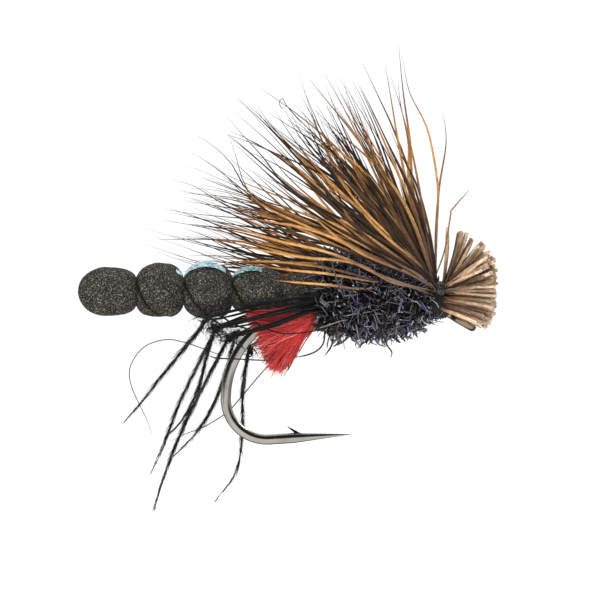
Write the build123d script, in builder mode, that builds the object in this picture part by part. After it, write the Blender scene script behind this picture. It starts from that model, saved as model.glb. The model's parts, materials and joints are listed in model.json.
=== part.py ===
"""A foam-bodied dry fly on a wide-gape, down-eye hook, as the separate pieces that are tied to it.

Millimetres. +X runs along the shank towards the eye, +Z is up with the hook hanging below, and the
origin is the centre of the eye, where the leader is tied. The fly's right side is -Y.
"""

import os
from math import asin, cos, degrees, radians, sin, sqrt

from build123d import *

os.makedirs("parts", exist_ok=True)

# Hook: one bent, tapered and barbed steel wire.
WIRE_D = 0.90
SHANK_Z = 1.25  # the shank's centreline stands this far above the eye's centre
EYE_DROP = 30.0  # degrees that the eye turns down from the shank
EYE_BORE_D = 1.20
EYE_WIRE_D = 0.70  # the wire is drawn thinner where it closes the eye
EYE_LAND = 0.05  # how deep the inside of the eye is burnished flat
NECK_D = 0.62
SHANK_END_X = -12.67  # where the straight shank runs into the bend
BEND_R = 7.88  # upper, open part of the bend
HEEL_R = 3.55  # lower, tight part of the bend
SPEAR_RISE = 3.6  # degrees that the spear closes towards the shank
SPEAR_L = 7.15  # from the heel to the needle point
TAPER_L = 5.0
POINT_D = 0.04
BARB_L = 1.66
BARB_W = 0.44
BARB_BACK = 4.20  # from the needle point back to the root of the barb
BARB_ANGLE = 38.0

# Thread, and the clearances between bound pieces.
THREAD_T = 0.15
FIT = 0.03
SOFT_GAP = 0.15

# Foam abdomen: round lobes on one axis, pinched in at the waists.
FOAM_Z = 2.65
FOAM_TIP_X = -33.35
WAISTS = (-28.06, -23.90, -19.66, -15.40)
WAIST_R = 1.20
LOBE_R = (2.10, 2.34, 2.34, 1.95, 1.35)  # from the tail forward
FOAM_END_X = -12.25  # where the foam runs in under the thorax
FOAM_END_R = 0.95
BUTT_L = 1.85
BUTT_R = 0.60
HINGE_WAIST = 1  # the abdomen flexes at the second waist
SHOULDER = 0.60  # from the flexing waist's centre to where the rear foam widens
SOCKET_GAP = 0.12
FILM_T = 0.20
FILM_SPREAD = 62.0  # degrees of the back that the film covers
FILM_REAR_L = 1.60

# Thread head and the collar that grips the hair on top of it.
HEAD_START_X = -3.30
HEAD_END_X = -1.15
HEAD_WRAP_R = 1.05
HEAD_END_R = 0.72
COLLAR_X = -1.95
COLLAR_W = 0.66
COLLAR_T = 0.14
CEMENT_T = 0.07

# Hair: one bundle, gripped at its waist, with the tips flared back and the clipped butts forward.
BUNDLE_R_Y = 0.85
BUNDLE_R_Z = 0.55
FLARE_R = 1.00  # from the collar's centre to the root of the flared hair
FLARE_GAP = 0.04
FLARE_W = 1.40
WING_LOW = 8.0  # degrees above the shank
WING_HIGH = 91.0
WING_TIP_W = 14.0
WING_TIP_R = 22.3  # the tips end on a circle, whose centre stands behind and below the collar
WING_TIP_BACK = 4.0
WING_TIP_DROP = 2.0
BUTTS_R = 5.15
BUTTS_LOW = -31.0
BUTTS_HIGH = 80.0
BUTTS_TIP_W = 7.4

# Thorax, as round sections: x, height of the centre, radius.
CORE = ((-12.10, 2.15, 1.30), (-9.30, 2.10, 1.75), (-6.20, 1.75, 1.45), (-3.75, 1.40, 0.95))
CHENILLE = ((-12.55, 1.90, 2.40), (-9.60, 2.20, 3.75), (-6.20, 1.90, 2.90), (-3.45, 1.50, 1.45))

# Rear binding and tag.
BINDING_X = -14.20
BINDING_L = 0.95
BINDING_T = 0.18
TAG_T = 0.50
TAG_TOP = 0.50
TAG_FRONT_X = -13.05
TAG_REAR_X = -18.20
TAG_BACK_L = 1.00  # the back edge slopes this far in, up to the top
TAG_REAR_Z = -0.50
TAG_TIP = (-16.20, -4.20)
TAG_TIP_FRONT = (-15.00, -4.05)
TAG_BULGE = (-13.55, -1.60)

# Legs: feather barbs with a knot for a knee. Each is hip, knee, then points down to the toe.
HIP_D = 0.38
KNEE_D = 0.32
KNOT_D = 0.60
SHIN_D = 0.34
TOE_D = 0.10
JOINT_SWELL = 1.06
HIP_X = -14.60
HIP_Y = 1.75
HIP_Z = 2.60  # the upper leg's, and each leg behind it is tied in a step lower
HIP_STEP = 0.55
LEGS = {  # side (-1 is the fly's right), then knee, shin points and toe as x, distance out, z
    "leg_right_1": (-1, ((-22.2, 2.3, 0.3), (-23.9, 2.8, -1.8), (-27.9, 3.7, -6.8), (-29.4, 4.0, -8.7))),
    "leg_right_2": (-1, ((-21.4, 2.0, -0.7), (-23.6, 2.6, -4.4), (-26.1, 3.4, -10.4), (-27.1, 3.7, -13.2))),
    "leg_right_3": (-1, ((-20.3, 1.8, -1.4), (-22.4, 2.3, -5.3), (-25.5, 3.1, -12.0), (-26.9, 3.4, -16.5))),
    "leg_left_1": (1, ((-21.6, 2.2, -0.9), (-22.9, 2.7, -4.9), (-24.2, 3.1, -7.4), (-25.9, 3.5, -10.2))),
    "leg_left_2": (1, ((-19.9, 2.0, -1.7), (-20.9, 2.4, -4.9), (-23.0, 3.0, -8.7), (-25.3, 3.5, -11.9))),
    "leg_left_3": (1, ((-19.0, 1.8, -2.5), (-19.2, 2.1, -8.4), (-19.6, 2.4, -12.2), (-21.6, 2.9, -15.8))),
}

wire_r = WIRE_D / 2
base_r = wire_r + THREAD_T
eye_ring_r = (EYE_BORE_D + EYE_WIRE_D) / 2 - EYE_LAND
drop = radians(EYE_DROP)
eye_dir = Vector(cos(drop), 0, -sin(drop))
eye_up = Vector(sin(drop), 0, cos(drop))
neck_top = eye_dir * (-SHANK_Z / sin(drop))
hinge_x = WAISTS[HINGE_WAIST]
foam_axis = Axis((0, 0, FOAM_Z), (1, 0, 0))
shank_axis = Axis((0, 0, SHANK_Z), (1, 0, 0))
foam_side = Plane(origin=(0, 0, FOAM_Z), x_dir=(1, 0, 0), z_dir=(0, -1, 0))
shank_side = Plane(origin=(0, 0, SHANK_Z), x_dir=(1, 0, 0), z_dir=(0, -1, 0))
bundle_z = SHANK_Z + HEAD_WRAP_R + FIT + BUNDLE_R_Z
collar_centre = Vector(COLLAR_X, 0, bundle_z)
STAND = (Align.CENTER, Align.CENTER, Align.MIN)
CORNER = (Align.MIN, Align.MIN)


def save(part, name):
    part.label = name
    export_step(part, f"parts/{name}.step")


# Hook ------------------------------------------------------------------------------------------
with BuildLine(Plane.XZ) as hook_line:
    shank = Line((neck_top.X, SHANK_Z), (SHANK_END_X, SHANK_Z))
    bend = JernArc(start=shank @ 1, tangent=shank % 1, radius=BEND_R, arc_size=90)
    heel = JernArc(start=bend @ 1, tangent=bend % 1, radius=HEEL_R, arc_size=90 + SPEAR_RISE)
    spear = Line(heel @ 1, (heel @ 1) + (heel % 1) * (SPEAR_L - TAPER_L))

spear_dir = spear % 1
spear_up = Vector(-spear_dir.Z, 0, spear_dir.X)
needle_point = (spear @ 1) + spear_dir * TAPER_L
barb_root = needle_point - spear_dir * BARB_BACK
barb_lift = radians(BARB_ANGLE)
barb_dir = spear_dir * -cos(barb_lift) + spear_up * sin(barb_lift)
barb_plane = Plane(origin=barb_root, x_dir=(0, 1, 0), z_dir=barb_dir)
wire_start = Plane(origin=hook_line.line @ 0, z_dir=hook_line.line % 0)

with BuildPart() as hook:
    # the ring of the eye, burnished to a short round bore
    with BuildSketch(Plane(origin=(0, 0, 0), x_dir=eye_dir, z_dir=(0, -1, 0))):
        with Locations((-eye_ring_r, 0)):
            Circle(EYE_WIRE_D / 2)
        Rectangle(EYE_BORE_D, EYE_WIRE_D, mode=Mode.SUBTRACT)
    revolve(axis=Axis((0, 0, 0), eye_up))
    # the neck narrows from the shank into the ring
    with Locations(Plane(origin=neck_top, z_dir=eye_dir)):
        Cone(wire_r, NECK_D / 2, neck_top.length - eye_ring_r, align=STAND)
        Sphere(wire_r)
    with BuildSketch(wire_start):
        Circle(wire_r)
    sweep(path=hook_line.line)
    with Locations(Plane(origin=spear @ 1, z_dir=spear_dir)):
        Cone(wire_r, POINT_D / 2, TAPER_L, align=STAND)
    with BuildSketch(barb_plane):
        Rectangle(BARB_W, BARB_W)
    with BuildSketch(barb_plane.offset(BARB_L)):
        Rectangle(BARB_W / 4, BARB_W / 8)
    loft()
save(hook.part, "hook")

# The room that the dressed wire takes, which soft pieces around it are cut back from.
with BuildPart() as hook_room:
    with BuildSketch(wire_start):
        Circle(base_r + FIT)
    sweep(path=hook_line.line)
    with Locations(Plane(origin=neck_top, z_dir=eye_dir)):
        Sphere(base_r + FIT)
        Cone(base_r + FIT, NECK_D / 2 + FIT, neck_top.length, align=STAND)

# Thread base: the layer of wraps that everything else is tied onto.
with BuildPart() as thread_base:
    with BuildSketch(Plane.YZ.offset(SHANK_END_X)):
        with Locations((0, SHANK_Z)):
            Circle(base_r)
            Circle(wire_r, mode=Mode.SUBTRACT)
    extrude(amount=neck_top.X - wire_r - SHANK_END_X)
save(thread_base.part, "thread_base")


# Foam abdomen ----------------------------------------------------------------------------------
def lobe(index, start, end, lift=0.0):
    """The upper outline of one foam lobe, from one waist point over its fullest point to the next."""
    top = ((start[0] + end[0]) / 2, LOBE_R[index] + lift)
    ThreePointArc((start[0], start[1] + lift), top, (end[0], end[1] + lift))


def waist(index):
    return (WAISTS[index], WAIST_R)


shoulder_r = sqrt(WAIST_R**2 - SHOULDER**2)
shoulder = (hinge_x - SHOULDER, shoulder_r)
tail_mid = (FOAM_TIP_X + WAISTS[0]) / 2
tail_top = (tail_mid, LOBE_R[0])

with BuildPart() as foam_rear:
    with BuildSketch(foam_side):
        with BuildLine():
            EllipticalCenterArc((tail_mid, 0), tail_mid - FOAM_TIP_X, LOBE_R[0], start_angle=90, arc_size=90)
            Spline(tail_top, waist(0), tangents=((1, 0), (1, -2)))
            lobe(1, waist(0), shoulder)
            CenterArc((hinge_x, 0), WAIST_R, 0, 180 - degrees(asin(shoulder_r / WAIST_R)))
            Line((hinge_x + WAIST_R, 0), (FOAM_TIP_X, 0))
        make_face()
    revolve(axis=foam_axis)
save(foam_rear.part, "foam_abdomen_rear")

socket_r = WAIST_R + SOCKET_GAP
mouth_r = sqrt(socket_r**2 - SOCKET_GAP**2)
front_lip = (hinge_x + SOCKET_GAP, socket_r + SOCKET_GAP)
foam_end = (FOAM_END_X, FOAM_END_R)
butt_end_x = FOAM_END_X + BUTT_L

with BuildPart() as foam_front:
    with BuildSketch(foam_side):
        with BuildLine():
            Line((hinge_x + SOCKET_GAP, mouth_r), front_lip)
            lobe(2, front_lip, waist(2))
            lobe(3, waist(2), waist(3))
            lobe(4, waist(3), foam_end)
            Polyline(foam_end, (butt_end_x, BUTT_R), (butt_end_x, 0), (hinge_x + socket_r, 0))
            CenterArc((hinge_x, 0), socket_r, 0, degrees(asin(mouth_r / socket_r)))
        make_face()
    revolve(axis=foam_axis)
    add(hook_room.part, mode=Mode.SUBTRACT)
save(foam_front.part, "foam_abdomen_front")

# Flash film: one narrow strip along the back of the foam, in two lengths that meet at the waist.
film_side = foam_side.rotated((-FILM_SPREAD / 2, 0, 0))


def film(lobes, back_x):
    """The film over a row of lobes, each given as its number, start and end."""
    start = lobes[0][1]
    end = lobes[-1][2]
    with BuildPart() as strip:
        with BuildSketch(film_side):
            for lift, mode in ((FIT + FILM_T, Mode.ADD), (FIT, Mode.SUBTRACT)):
                with BuildLine():
                    for index, near, far in lobes:
                        lobe(index, near, far, lift)
                    Line((end[0], end[1] + lift), (end[0], 0))
                    Line((end[0], 0), (start[0], 0))
                    Line((start[0], 0), (start[0], start[1] + lift))
                make_face(mode=mode)
            with Locations((back_x, 0)):
                Rectangle(end[0] - back_x, 2 * LOBE_R[1], align=CORNER, mode=Mode.INTERSECT)
        revolve(axis=foam_axis, revolution_arc=FILM_SPREAD)
    return strip.part


film_rear = film([(1, waist(0), shoulder)], shoulder[0] - FILM_REAR_L)
film_front = film([(2, front_lip, waist(2)), (3, waist(2), waist(3))], front_lip[0])
save(film_rear, "flash_film_rear")
save(film_front, "flash_film_front")

# Rear binding: wraps round the foam and the shank together, which also hold the tag and the legs.
binding_top = FOAM_Z + LOBE_R[4] + FIT + BINDING_T
binding_low = SHANK_Z - base_r - FIT - BINDING_T / 2
binding_r_y = LOBE_R[4] + FIT + BINDING_T

with BuildPart() as foam_room:
    with BuildSketch(foam_side):
        with BuildLine():
            lobe(4, waist(3), foam_end, FIT)
            Polyline(
                (foam_end[0], foam_end[1] + FIT),
                (butt_end_x + FIT, BUTT_R + FIT),
                (butt_end_x + FIT, 0),
                (WAISTS[3], 0),
                (WAISTS[3], WAIST_R + FIT),
            )
        make_face()
    revolve(axis=foam_axis)

with BuildPart() as rear_binding:
    with BuildSketch(Plane.YZ.offset(BINDING_X)):
        with Locations((0, (binding_top + binding_low) / 2)):
            Ellipse(binding_r_y, (binding_top - binding_low) / 2)
    extrude(amount=BINDING_L)
    add(foam_room.part, mode=Mode.SUBTRACT)
    add(hook_room.part, mode=Mode.SUBTRACT)
save(rear_binding.part, "rear_binding")


# Thorax ----------------------------------------------------------------------------------------
def round_loft(sections, lift=0.0):
    with BuildPart() as body:
        for x, z, radius in sections:
            with BuildSketch(Plane.YZ.offset(x)):
                with Locations((0, z)):
                    Circle(radius + lift)
        loft()
    return body.part


core_room = round_loft(CORE, FIT)
thorax_room = round_loft(CHENILLE, SOFT_GAP)

with BuildPart() as thorax_core:
    add(round_loft(CORE))
    add(foam_room.part, mode=Mode.SUBTRACT)
    add(hook_room.part, mode=Mode.SUBTRACT)
save(thorax_core.part, "thorax_core")

with BuildPart() as thorax_chenille:
    add(round_loft(CHENILLE))
    add(core_room, mode=Mode.SUBTRACT)
    add(foam_room.part, mode=Mode.SUBTRACT)
    add(hook_room.part, mode=Mode.SUBTRACT)
save(thorax_chenille.part, "thorax_chenille")


# Thread head, hair waist, collar and cement ----------------------------------------------------
def head_spindle(lift=0.0):
    with BuildPart() as spindle:
        with BuildSketch(shank_side):
            with BuildLine():
                ThreePointArc(
                    (HEAD_START_X, HEAD_END_R + lift),
                    (COLLAR_X, HEAD_WRAP_R + lift),
                    (HEAD_END_X, HEAD_END_R + lift),
                )
                Polyline(
                    (HEAD_END_X, HEAD_END_R + lift),
                    (HEAD_END_X, 0),
                    (HEAD_START_X, 0),
                    (HEAD_START_X, HEAD_END_R + lift),
                )
            make_face()
        revolve(axis=shank_axis)
    return spindle.part


head_room = head_spindle(FIT)

with BuildPart() as thread_head:
    add(head_spindle())
    add(hook_room.part, mode=Mode.SUBTRACT)
save(thread_head.part, "thread_head")

hair_waist_l = 2 * sqrt((FLARE_R - FLARE_GAP) ** 2 - BUNDLE_R_Z**2)
with BuildPart() as hair_waist:
    with BuildSketch(Plane.YZ.offset(COLLAR_X - hair_waist_l / 2)):
        with Locations((0, bundle_z)):
            Ellipse(BUNDLE_R_Y, BUNDLE_R_Z)
    extrude(amount=hair_waist_l)
save(hair_waist.part, "hair_waist")


def wrap_arch(inner, thickness, width):
    """Wraps over the gripped hair, down both its sides and in to the thread head below it."""
    with BuildPart() as arch:
        with BuildSketch(Plane.YZ.offset(COLLAR_X - width / 2)):
            for grow, mode in ((inner + thickness, Mode.ADD), (inner, Mode.SUBTRACT)):
                with Locations((0, bundle_z)):
                    Ellipse(BUNDLE_R_Y + grow, BUNDLE_R_Z + grow, mode=mode)
                with Locations((0, (bundle_z + SHANK_Z) / 2)):
                    Rectangle(2 * (BUNDLE_R_Y + grow), bundle_z - SHANK_Z, mode=mode)
        extrude(amount=width)
        add(head_room, mode=Mode.SUBTRACT)
    return arch.part


save(wrap_arch(FIT, COLLAR_T, COLLAR_W), "thread_collar")
save(wrap_arch(2 * FIT + COLLAR_T, CEMENT_T, COLLAR_W), "head_cement")


# Flared hair -----------------------------------------------------------------------------------
def flare(way, low, high, tip_w, length):
    """A fan of hair swept up about the collar: way is -1 for backwards and 1 for forwards."""
    tilt = radians(low)
    out = Vector(way * cos(tilt), 0, sin(tilt))
    with BuildPart() as fan:
        with BuildSketch(Plane(origin=collar_centre, x_dir=out, z_dir=(-out.Z, 0, out.X))):
            with BuildLine():
                Polyline(
                    (FLARE_R, -FLARE_W / 2),
                    (length, -tip_w / 2),
                    (length, tip_w / 2),
                    (FLARE_R, FLARE_W / 2),
                    close=True,
                )
            make_face()
        revolve(axis=Axis(collar_centre, (0, -way, 0)), revolution_arc=high - low)
    return fan.part


tip_centre = collar_centre - Vector(WING_TIP_BACK, 0, WING_TIP_DROP)
with BuildPart() as hair_wing:
    add(flare(-1, WING_LOW, WING_HIGH, WING_TIP_W, WING_TIP_R + WING_TIP_BACK))
    with Locations(Plane(origin=tip_centre, z_dir=(0, 1, 0))):
        Cylinder(WING_TIP_R, WING_TIP_W, mode=Mode.INTERSECT)
    add(thorax_room, mode=Mode.SUBTRACT)
save(hair_wing.part, "hair_wing")

with BuildPart() as hair_head:
    add(flare(1, BUTTS_LOW, BUTTS_HIGH, BUTTS_TIP_W, BUTTS_R))
    with Locations(collar_centre):
        Sphere(BUTTS_R, mode=Mode.INTERSECT)
save(hair_head.part, "hair_head")

# Tag: a lock of yarn down each side of the bend ------------------------------------------------
for side, name in ((-1, "red_tag_right"), (1, "red_tag_left")):
    with BuildPart() as tag:
        with BuildSketch(Plane.XZ.offset(-side * (base_r + FIT))):
            with BuildLine():
                Line((TAG_FRONT_X, TAG_TOP), (TAG_REAR_X + TAG_BACK_L, TAG_TOP))
                Polyline((TAG_REAR_X + TAG_BACK_L, TAG_TOP), (TAG_REAR_X, TAG_REAR_Z), TAG_TIP)
                Line(TAG_TIP, TAG_TIP_FRONT)
                ThreePointArc(TAG_TIP_FRONT, TAG_BULGE, (TAG_FRONT_X, TAG_TOP))
            make_face()
        extrude(amount=-side * TAG_T)
    save(tag.part, name)


# Legs ------------------------------------------------------------------------------------------
def taper(start, end, start_d, end_d):
    """One straight length of barb between two points."""
    with Locations(Plane(origin=start, z_dir=end - start)):
        Cone(start_d / 2, end_d / 2, (end - start).length, align=STAND)


for name, (side, points) in LEGS.items():
    knee, *shin = [Vector(x, side * y, z) for x, y, z in points]
    hip = Vector(HIP_X, side * HIP_Y, HIP_Z - HIP_STEP * (int(name[-1]) - 1))
    with BuildPart() as leg:
        taper(hip, knee, HIP_D, KNEE_D)
        with Locations(knee):
            Sphere(KNOT_D / 2)
        start = knee
        for step, end in enumerate(shin):
            start_d = SHIN_D + (TOE_D - SHIN_D) * step / len(shin)
            end_d = SHIN_D + (TOE_D - SHIN_D) * (step + 1) / len(shin)
            taper(start, end, start_d, end_d)
            with Locations(end):
                Sphere(end_d / 2 * JOINT_SWELL)
            start = end
    save(leg.part, name)
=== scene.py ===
"""The visual model of the dry fly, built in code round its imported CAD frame.

Shapes are worked out in millimetres in the CAD frame (+X to the eye, +Z up, origin at the eye's bore)
and written to the meshes in metres. The camera side of the fly is its right side, -Y.
"""

import json
import math

import bpy
import numpy as np
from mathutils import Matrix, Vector, noise


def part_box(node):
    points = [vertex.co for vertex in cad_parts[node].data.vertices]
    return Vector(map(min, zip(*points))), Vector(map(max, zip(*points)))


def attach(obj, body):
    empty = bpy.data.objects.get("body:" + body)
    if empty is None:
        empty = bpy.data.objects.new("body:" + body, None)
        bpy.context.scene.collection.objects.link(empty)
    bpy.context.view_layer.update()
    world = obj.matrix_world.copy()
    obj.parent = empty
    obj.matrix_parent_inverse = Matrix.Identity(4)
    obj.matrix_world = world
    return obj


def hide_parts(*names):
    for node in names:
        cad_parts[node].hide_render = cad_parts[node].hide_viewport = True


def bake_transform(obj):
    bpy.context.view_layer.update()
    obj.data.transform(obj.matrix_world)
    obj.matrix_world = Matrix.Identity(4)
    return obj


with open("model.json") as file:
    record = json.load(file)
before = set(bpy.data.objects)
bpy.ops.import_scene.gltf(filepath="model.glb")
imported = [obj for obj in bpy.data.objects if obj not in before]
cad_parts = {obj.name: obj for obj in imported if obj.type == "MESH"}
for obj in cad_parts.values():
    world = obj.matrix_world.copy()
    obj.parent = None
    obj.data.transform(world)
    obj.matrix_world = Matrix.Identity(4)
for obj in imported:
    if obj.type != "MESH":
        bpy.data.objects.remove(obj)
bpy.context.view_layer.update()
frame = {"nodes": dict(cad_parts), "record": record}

MM = 0.001
TAU = 2 * math.pi
ROOT = "fly"
TAIL = "abdomen"

def cad(node):
    """Lowest and highest corner of a CAD node, in mm."""
    low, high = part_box(node)
    return np.array(low) / MM, np.array(high) / MM

def middle(node):
    low, high = cad(node)
    return (low + high) / 2

COLLAR = middle("hair_waist")
SHANK_Z = middle("thread_base")[2]
FOAM_Z = middle("foam_abdomen_rear")[2]
FOAM_TIP_X = cad("foam_abdomen_rear")[0][0]
HINGE = np.array(frame["record"]["behaviour"]["joints"][0]["pos_m"]) / MM
THORAX_LOW = cad("thorax_chenille")[0]
HOOK_LOW = cad("hook")[0]

# Small mathematics -----------------------------------------------------------------------------
def unit(v):
    return v / np.maximum(np.linalg.norm(v, axis=-1, keepdims=True), 1e-9)

def smooth(t):
    t = np.clip(t, 0, 1)
    return t * t * (3 - 2 * t)

def hump(t, edge):
    """A half wave that keeps edge away from both of its ends."""
    return math.sin(math.pi * min(max(t, edge), 1 - edge))

def angles(count):
    """Even angles, once round."""
    return np.linspace(0, TAU, count, endpoint=False)

def on_disc(rng, count):
    """Points inside a circle of radius 1."""
    spot = rng.uniform(-1, 1, (count, 2))
    return spot / np.maximum(np.linalg.norm(spot, axis=1, keepdims=True), 1.0)

def grain(points, scale, seed):
    """Smooth noise between -1 and 1 at each point."""
    shift = Vector((seed, -seed, 2 * seed))
    return np.array([noise.noise(Vector(p) * scale + shift) for p in points])

def spline(points, count):
    """A smooth curve through given points, read at count even steps."""
    p = np.array(points, float)
    ends = np.vstack([2 * p[0] - p[1], p, 2 * p[-1] - p[-2]])
    t = np.linspace(0, 1, 24, endpoint=False)[:, None]
    fine = []
    for a, b, c, d in zip(ends, ends[1:], ends[2:], ends[3:]):
        square, cube = 2 * a - 5 * b + 4 * c - d, 3 * b - a - 3 * c + d
        fine.append(0.5 * (2 * b + (c - a) * t + square * t**2 + cube * t**3))
    fine = np.vstack(fine + [p[-1:]])
    run = np.r_[0, np.cumsum(np.linalg.norm(np.diff(fine, axis=0), axis=1))]
    at = np.linspace(0, run[-1], count)
    return np.stack([np.interp(at, run, fine[:, k]) for k in range(3)], axis=1)

def walk(origin, dirs, length):
    """Paths from each origin along its directions, in even steps."""
    step = (length / (dirs.shape[1] - 1))[:, None, None]
    return origin[:, None] + (np.cumsum(dirs * step, axis=1) - dirs[:, :1] * step)

def grow(rng, origin, start_dir, end_dir, length, rings, wander):
    """Strands that leave each origin along start_dir, turn evenly to end_dir and wander on the way."""
    t = np.linspace(0, 1, rings)[None, :, None]
    dirs = start_dir[:, None] * (1 - t) + end_dir[:, None] * t
    phase = rng.uniform(0, TAU, (len(origin), 1, 3))
    rate = rng.uniform(0.5, 1.3, (len(origin), 1, 1)) * TAU
    return walk(origin, unit(dirs + wander * np.sin(rate * t + phase) * t), length)

# Meshes ----------------------------------------------------------------------------------------
def mesh_object(name, verts, faces, material, uv, **attributes):
    """faces is a list of index arrays, each with as many columns as its faces have corners."""
    mesh = bpy.data.meshes.new(name)
    mesh.vertices.add(len(verts))
    mesh.vertices.foreach_set("co", (np.asarray(verts) * MM).astype(np.float32).ravel())
    loops = np.concatenate([f.ravel() for f in faces])
    sizes = np.concatenate([np.full(len(f), f.shape[1]) for f in faces])
    mesh.loops.add(len(loops))
    mesh.loops.foreach_set("vertex_index", loops.astype(np.int32))
    mesh.polygons.add(len(sizes))
    starts = np.r_[0, np.cumsum(sizes)[:-1]]
    mesh.polygons.foreach_set("loop_start", starts.astype(np.int32))
    mesh.polygons.foreach_set("use_smooth", np.ones(len(sizes), bool))
    layer = mesh.uv_layers.new(name="OFBake")
    flat_uv = np.concatenate([u.reshape(-1, 2) for u in uv])
    layer.data.foreach_set("uv", flat_uv.astype(np.float32).ravel())
    for key, values in attributes.items():
        layer = mesh.attributes.new(key, "FLOAT", "POINT")
        layer.data.foreach_set("value", np.asarray(values, np.float32))
    mesh.update(calc_edges=True)
    mesh.validate()
    obj = bpy.data.objects.new(name, mesh)
    bpy.context.scene.collection.objects.link(obj)
    mesh.materials.append(material)
    return obj

def outward(obj):
    """Turns every face to the outside."""
    bpy.context.view_layer.objects.active = obj
    for other in bpy.context.selected_objects:
        other.select_set(False)
    obj.select_set(True)
    bpy.ops.object.mode_set(mode="EDIT")
    bpy.ops.mesh.select_all(action="SELECT")
    bpy.ops.mesh.normals_make_consistent(inside=False)
    bpy.ops.object.mode_set(mode="OBJECT")
    obj.select_set(False)
    return obj

def skin_quads(count, rings, sides):
    """Faces between rings of points, for count skins one after another."""
    base = (np.arange(count) * rings * sides)[:, None, None]
    level = base + (np.arange(rings - 1) * sides)[None, :, None]
    k = np.arange(sides)
    k2 = (k + 1) % sides
    return np.stack([level + k, level + k2, level + sides + k2, level + sides + k], -1).reshape(-1, 4)

def skin_uv(rings, sides, left, width, low, height):
    """The map of one skin's faces, with u round the ring and v along it."""
    u = left + width * np.arange(sides + 1) / sides
    v = low + height * np.arange(rings) / (rings - 1)
    point = np.stack(np.meshgrid(u, v), -1)
    return np.stack([point[:-1, :-1], point[:-1, 1:], point[1:, 1:], point[1:, :-1]], 2)

def tube_data(paths, radii, sides, hint=(0, 1, 0), flat=1.0):
    """Vertices, faces and end caps of closed tubes, one for each path."""
    count, rings = paths.shape[:2]
    along = unit(np.gradient(paths, axis=1))
    across = unit(np.cross(along, np.broadcast_to(hint, (count, 3))[:, None]))
    other = np.cross(along, across)
    turn = np.arange(sides) * TAU / sides
    radii = np.broadcast_to(radii, (count, rings))[:, :, None, None]
    ring = across[:, :, None] * np.cos(turn)[:, None] + other[:, :, None] * (np.sin(turn) * flat)[:, None]
    verts = (paths[:, :, None] + ring * radii).reshape(-1, 3)
    first = (np.arange(count) * rings * sides)[:, None] + np.arange(sides)
    last = first[:, ::-1] + (rings - 1) * sides
    return verts, skin_quads(count, rings, sides)[:, ::-1], np.concatenate([first, last])

def tube_uv(count, rings, sides, offset, total):
    """Each strand gets a cell of its own on the map, with its length up the cell."""
    columns = math.ceil(math.sqrt(total * 5))
    rows = math.ceil(total / columns)
    index = offset + np.arange(count)
    corner = np.stack([(index % columns) / columns, (index // columns) / rows], -1)[:, None]
    cell = np.array([1 / columns, 1 / rows])
    sheet = skin_uv(rings, sides, 0.06, 0.88, 0.10, 0.84)[:, :, ::-1].reshape(-1, 2)
    turn = angles(sides)
    disc = np.stack([0.5 + 0.3 * np.cos(turn), 0.05 + 0.04 * np.sin(turn)], -1)
    caps = [corner + disc * cell, corner + (disc + [0, 0.91]) * cell]
    return corner + sheet * cell, np.concatenate(caps)

def strands(name, groups, material):
    """One mesh of many closed strands.

    Each group has paths, radii, sides and seed. It may have kind, along, hint (which way a strand's
    flat side turns) and flat (how flat it is).
    """
    verts, quads, quad_uv, caps, cap_uv = [], [], [], [], []
    values = {"along": [], "seed": [], "kind": []}
    total = sum(len(g["paths"]) for g in groups)
    offset = shift = 0
    for g in groups:
        count, rings = g["paths"].shape[:2]
        sides = g["sides"]
        shape = {key: g[key] for key in ("hint", "flat") if key in g}
        v, q, c = tube_data(g["paths"], g["radii"], sides, **shape)
        q_uv, c_uv = tube_uv(count, rings, sides, offset, total)
        verts.append(v)
        quads.append(q + shift)
        caps.append(c + shift)
        quad_uv.append(q_uv.reshape(-1, 2))
        cap_uv.append(c_uv)
        along = np.broadcast_to(g.get("along", np.linspace(0, 1, rings)), (count, rings))
        values["along"].append(np.repeat(along, sides))
        for key in ("seed", "kind"):
            values[key].append(np.repeat(np.broadcast_to(g.get(key, 0.0), count), rings * sides))
        shift += len(v)
        offset += count
    values = {key: np.concatenate(each) for key, each in values.items()}
    faces = [np.concatenate(quads)] + caps
    return mesh_object(name, np.concatenate(verts), faces, material, quad_uv + cap_uv, **values)

def grid_object(name, points, material, **attributes):
    """A skin over rings of points, closed round each ring and at both ends, shape (rings, sides, 3)."""
    rings, sides = points.shape[:2]
    ring, turn = np.arange(sides), angles(sides)
    faces = [skin_quads(1, rings, sides)]
    uv = [skin_uv(rings, sides, 0.03, 0.94, 0.07, 0.86)]
    for cap, height in ((ring[::-1], 0.03), ((rings - 1) * sides + ring, 0.965)):
        faces.append(cap[None])
        uv.append(np.stack([0.5 + 0.02 * np.cos(turn), height + 0.02 * np.sin(turn)], -1))
    return outward(mesh_object(name, points.reshape(-1, 3), faces, material, uv, **attributes))

def settle(obj, slot, *nodes, body=ROOT):
    """Puts a piece on its body, in place of its CAD nodes. slot is not used."""
    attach(obj, body)
    if nodes:
        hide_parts(*nodes)

# Materials -------------------------------------------------------------------------------------
def rgb(red, green, blue):
    """A colour given as it looks on screen, 0 to 255, as linear light."""
    screen = np.array([red, green, blue]) / 255
    linear = np.where(screen <= 0.04045, screen / 12.92, ((screen + 0.055) / 1.055) ** 2.4)
    return (*[float(c) for c in linear], 1.0)

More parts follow.
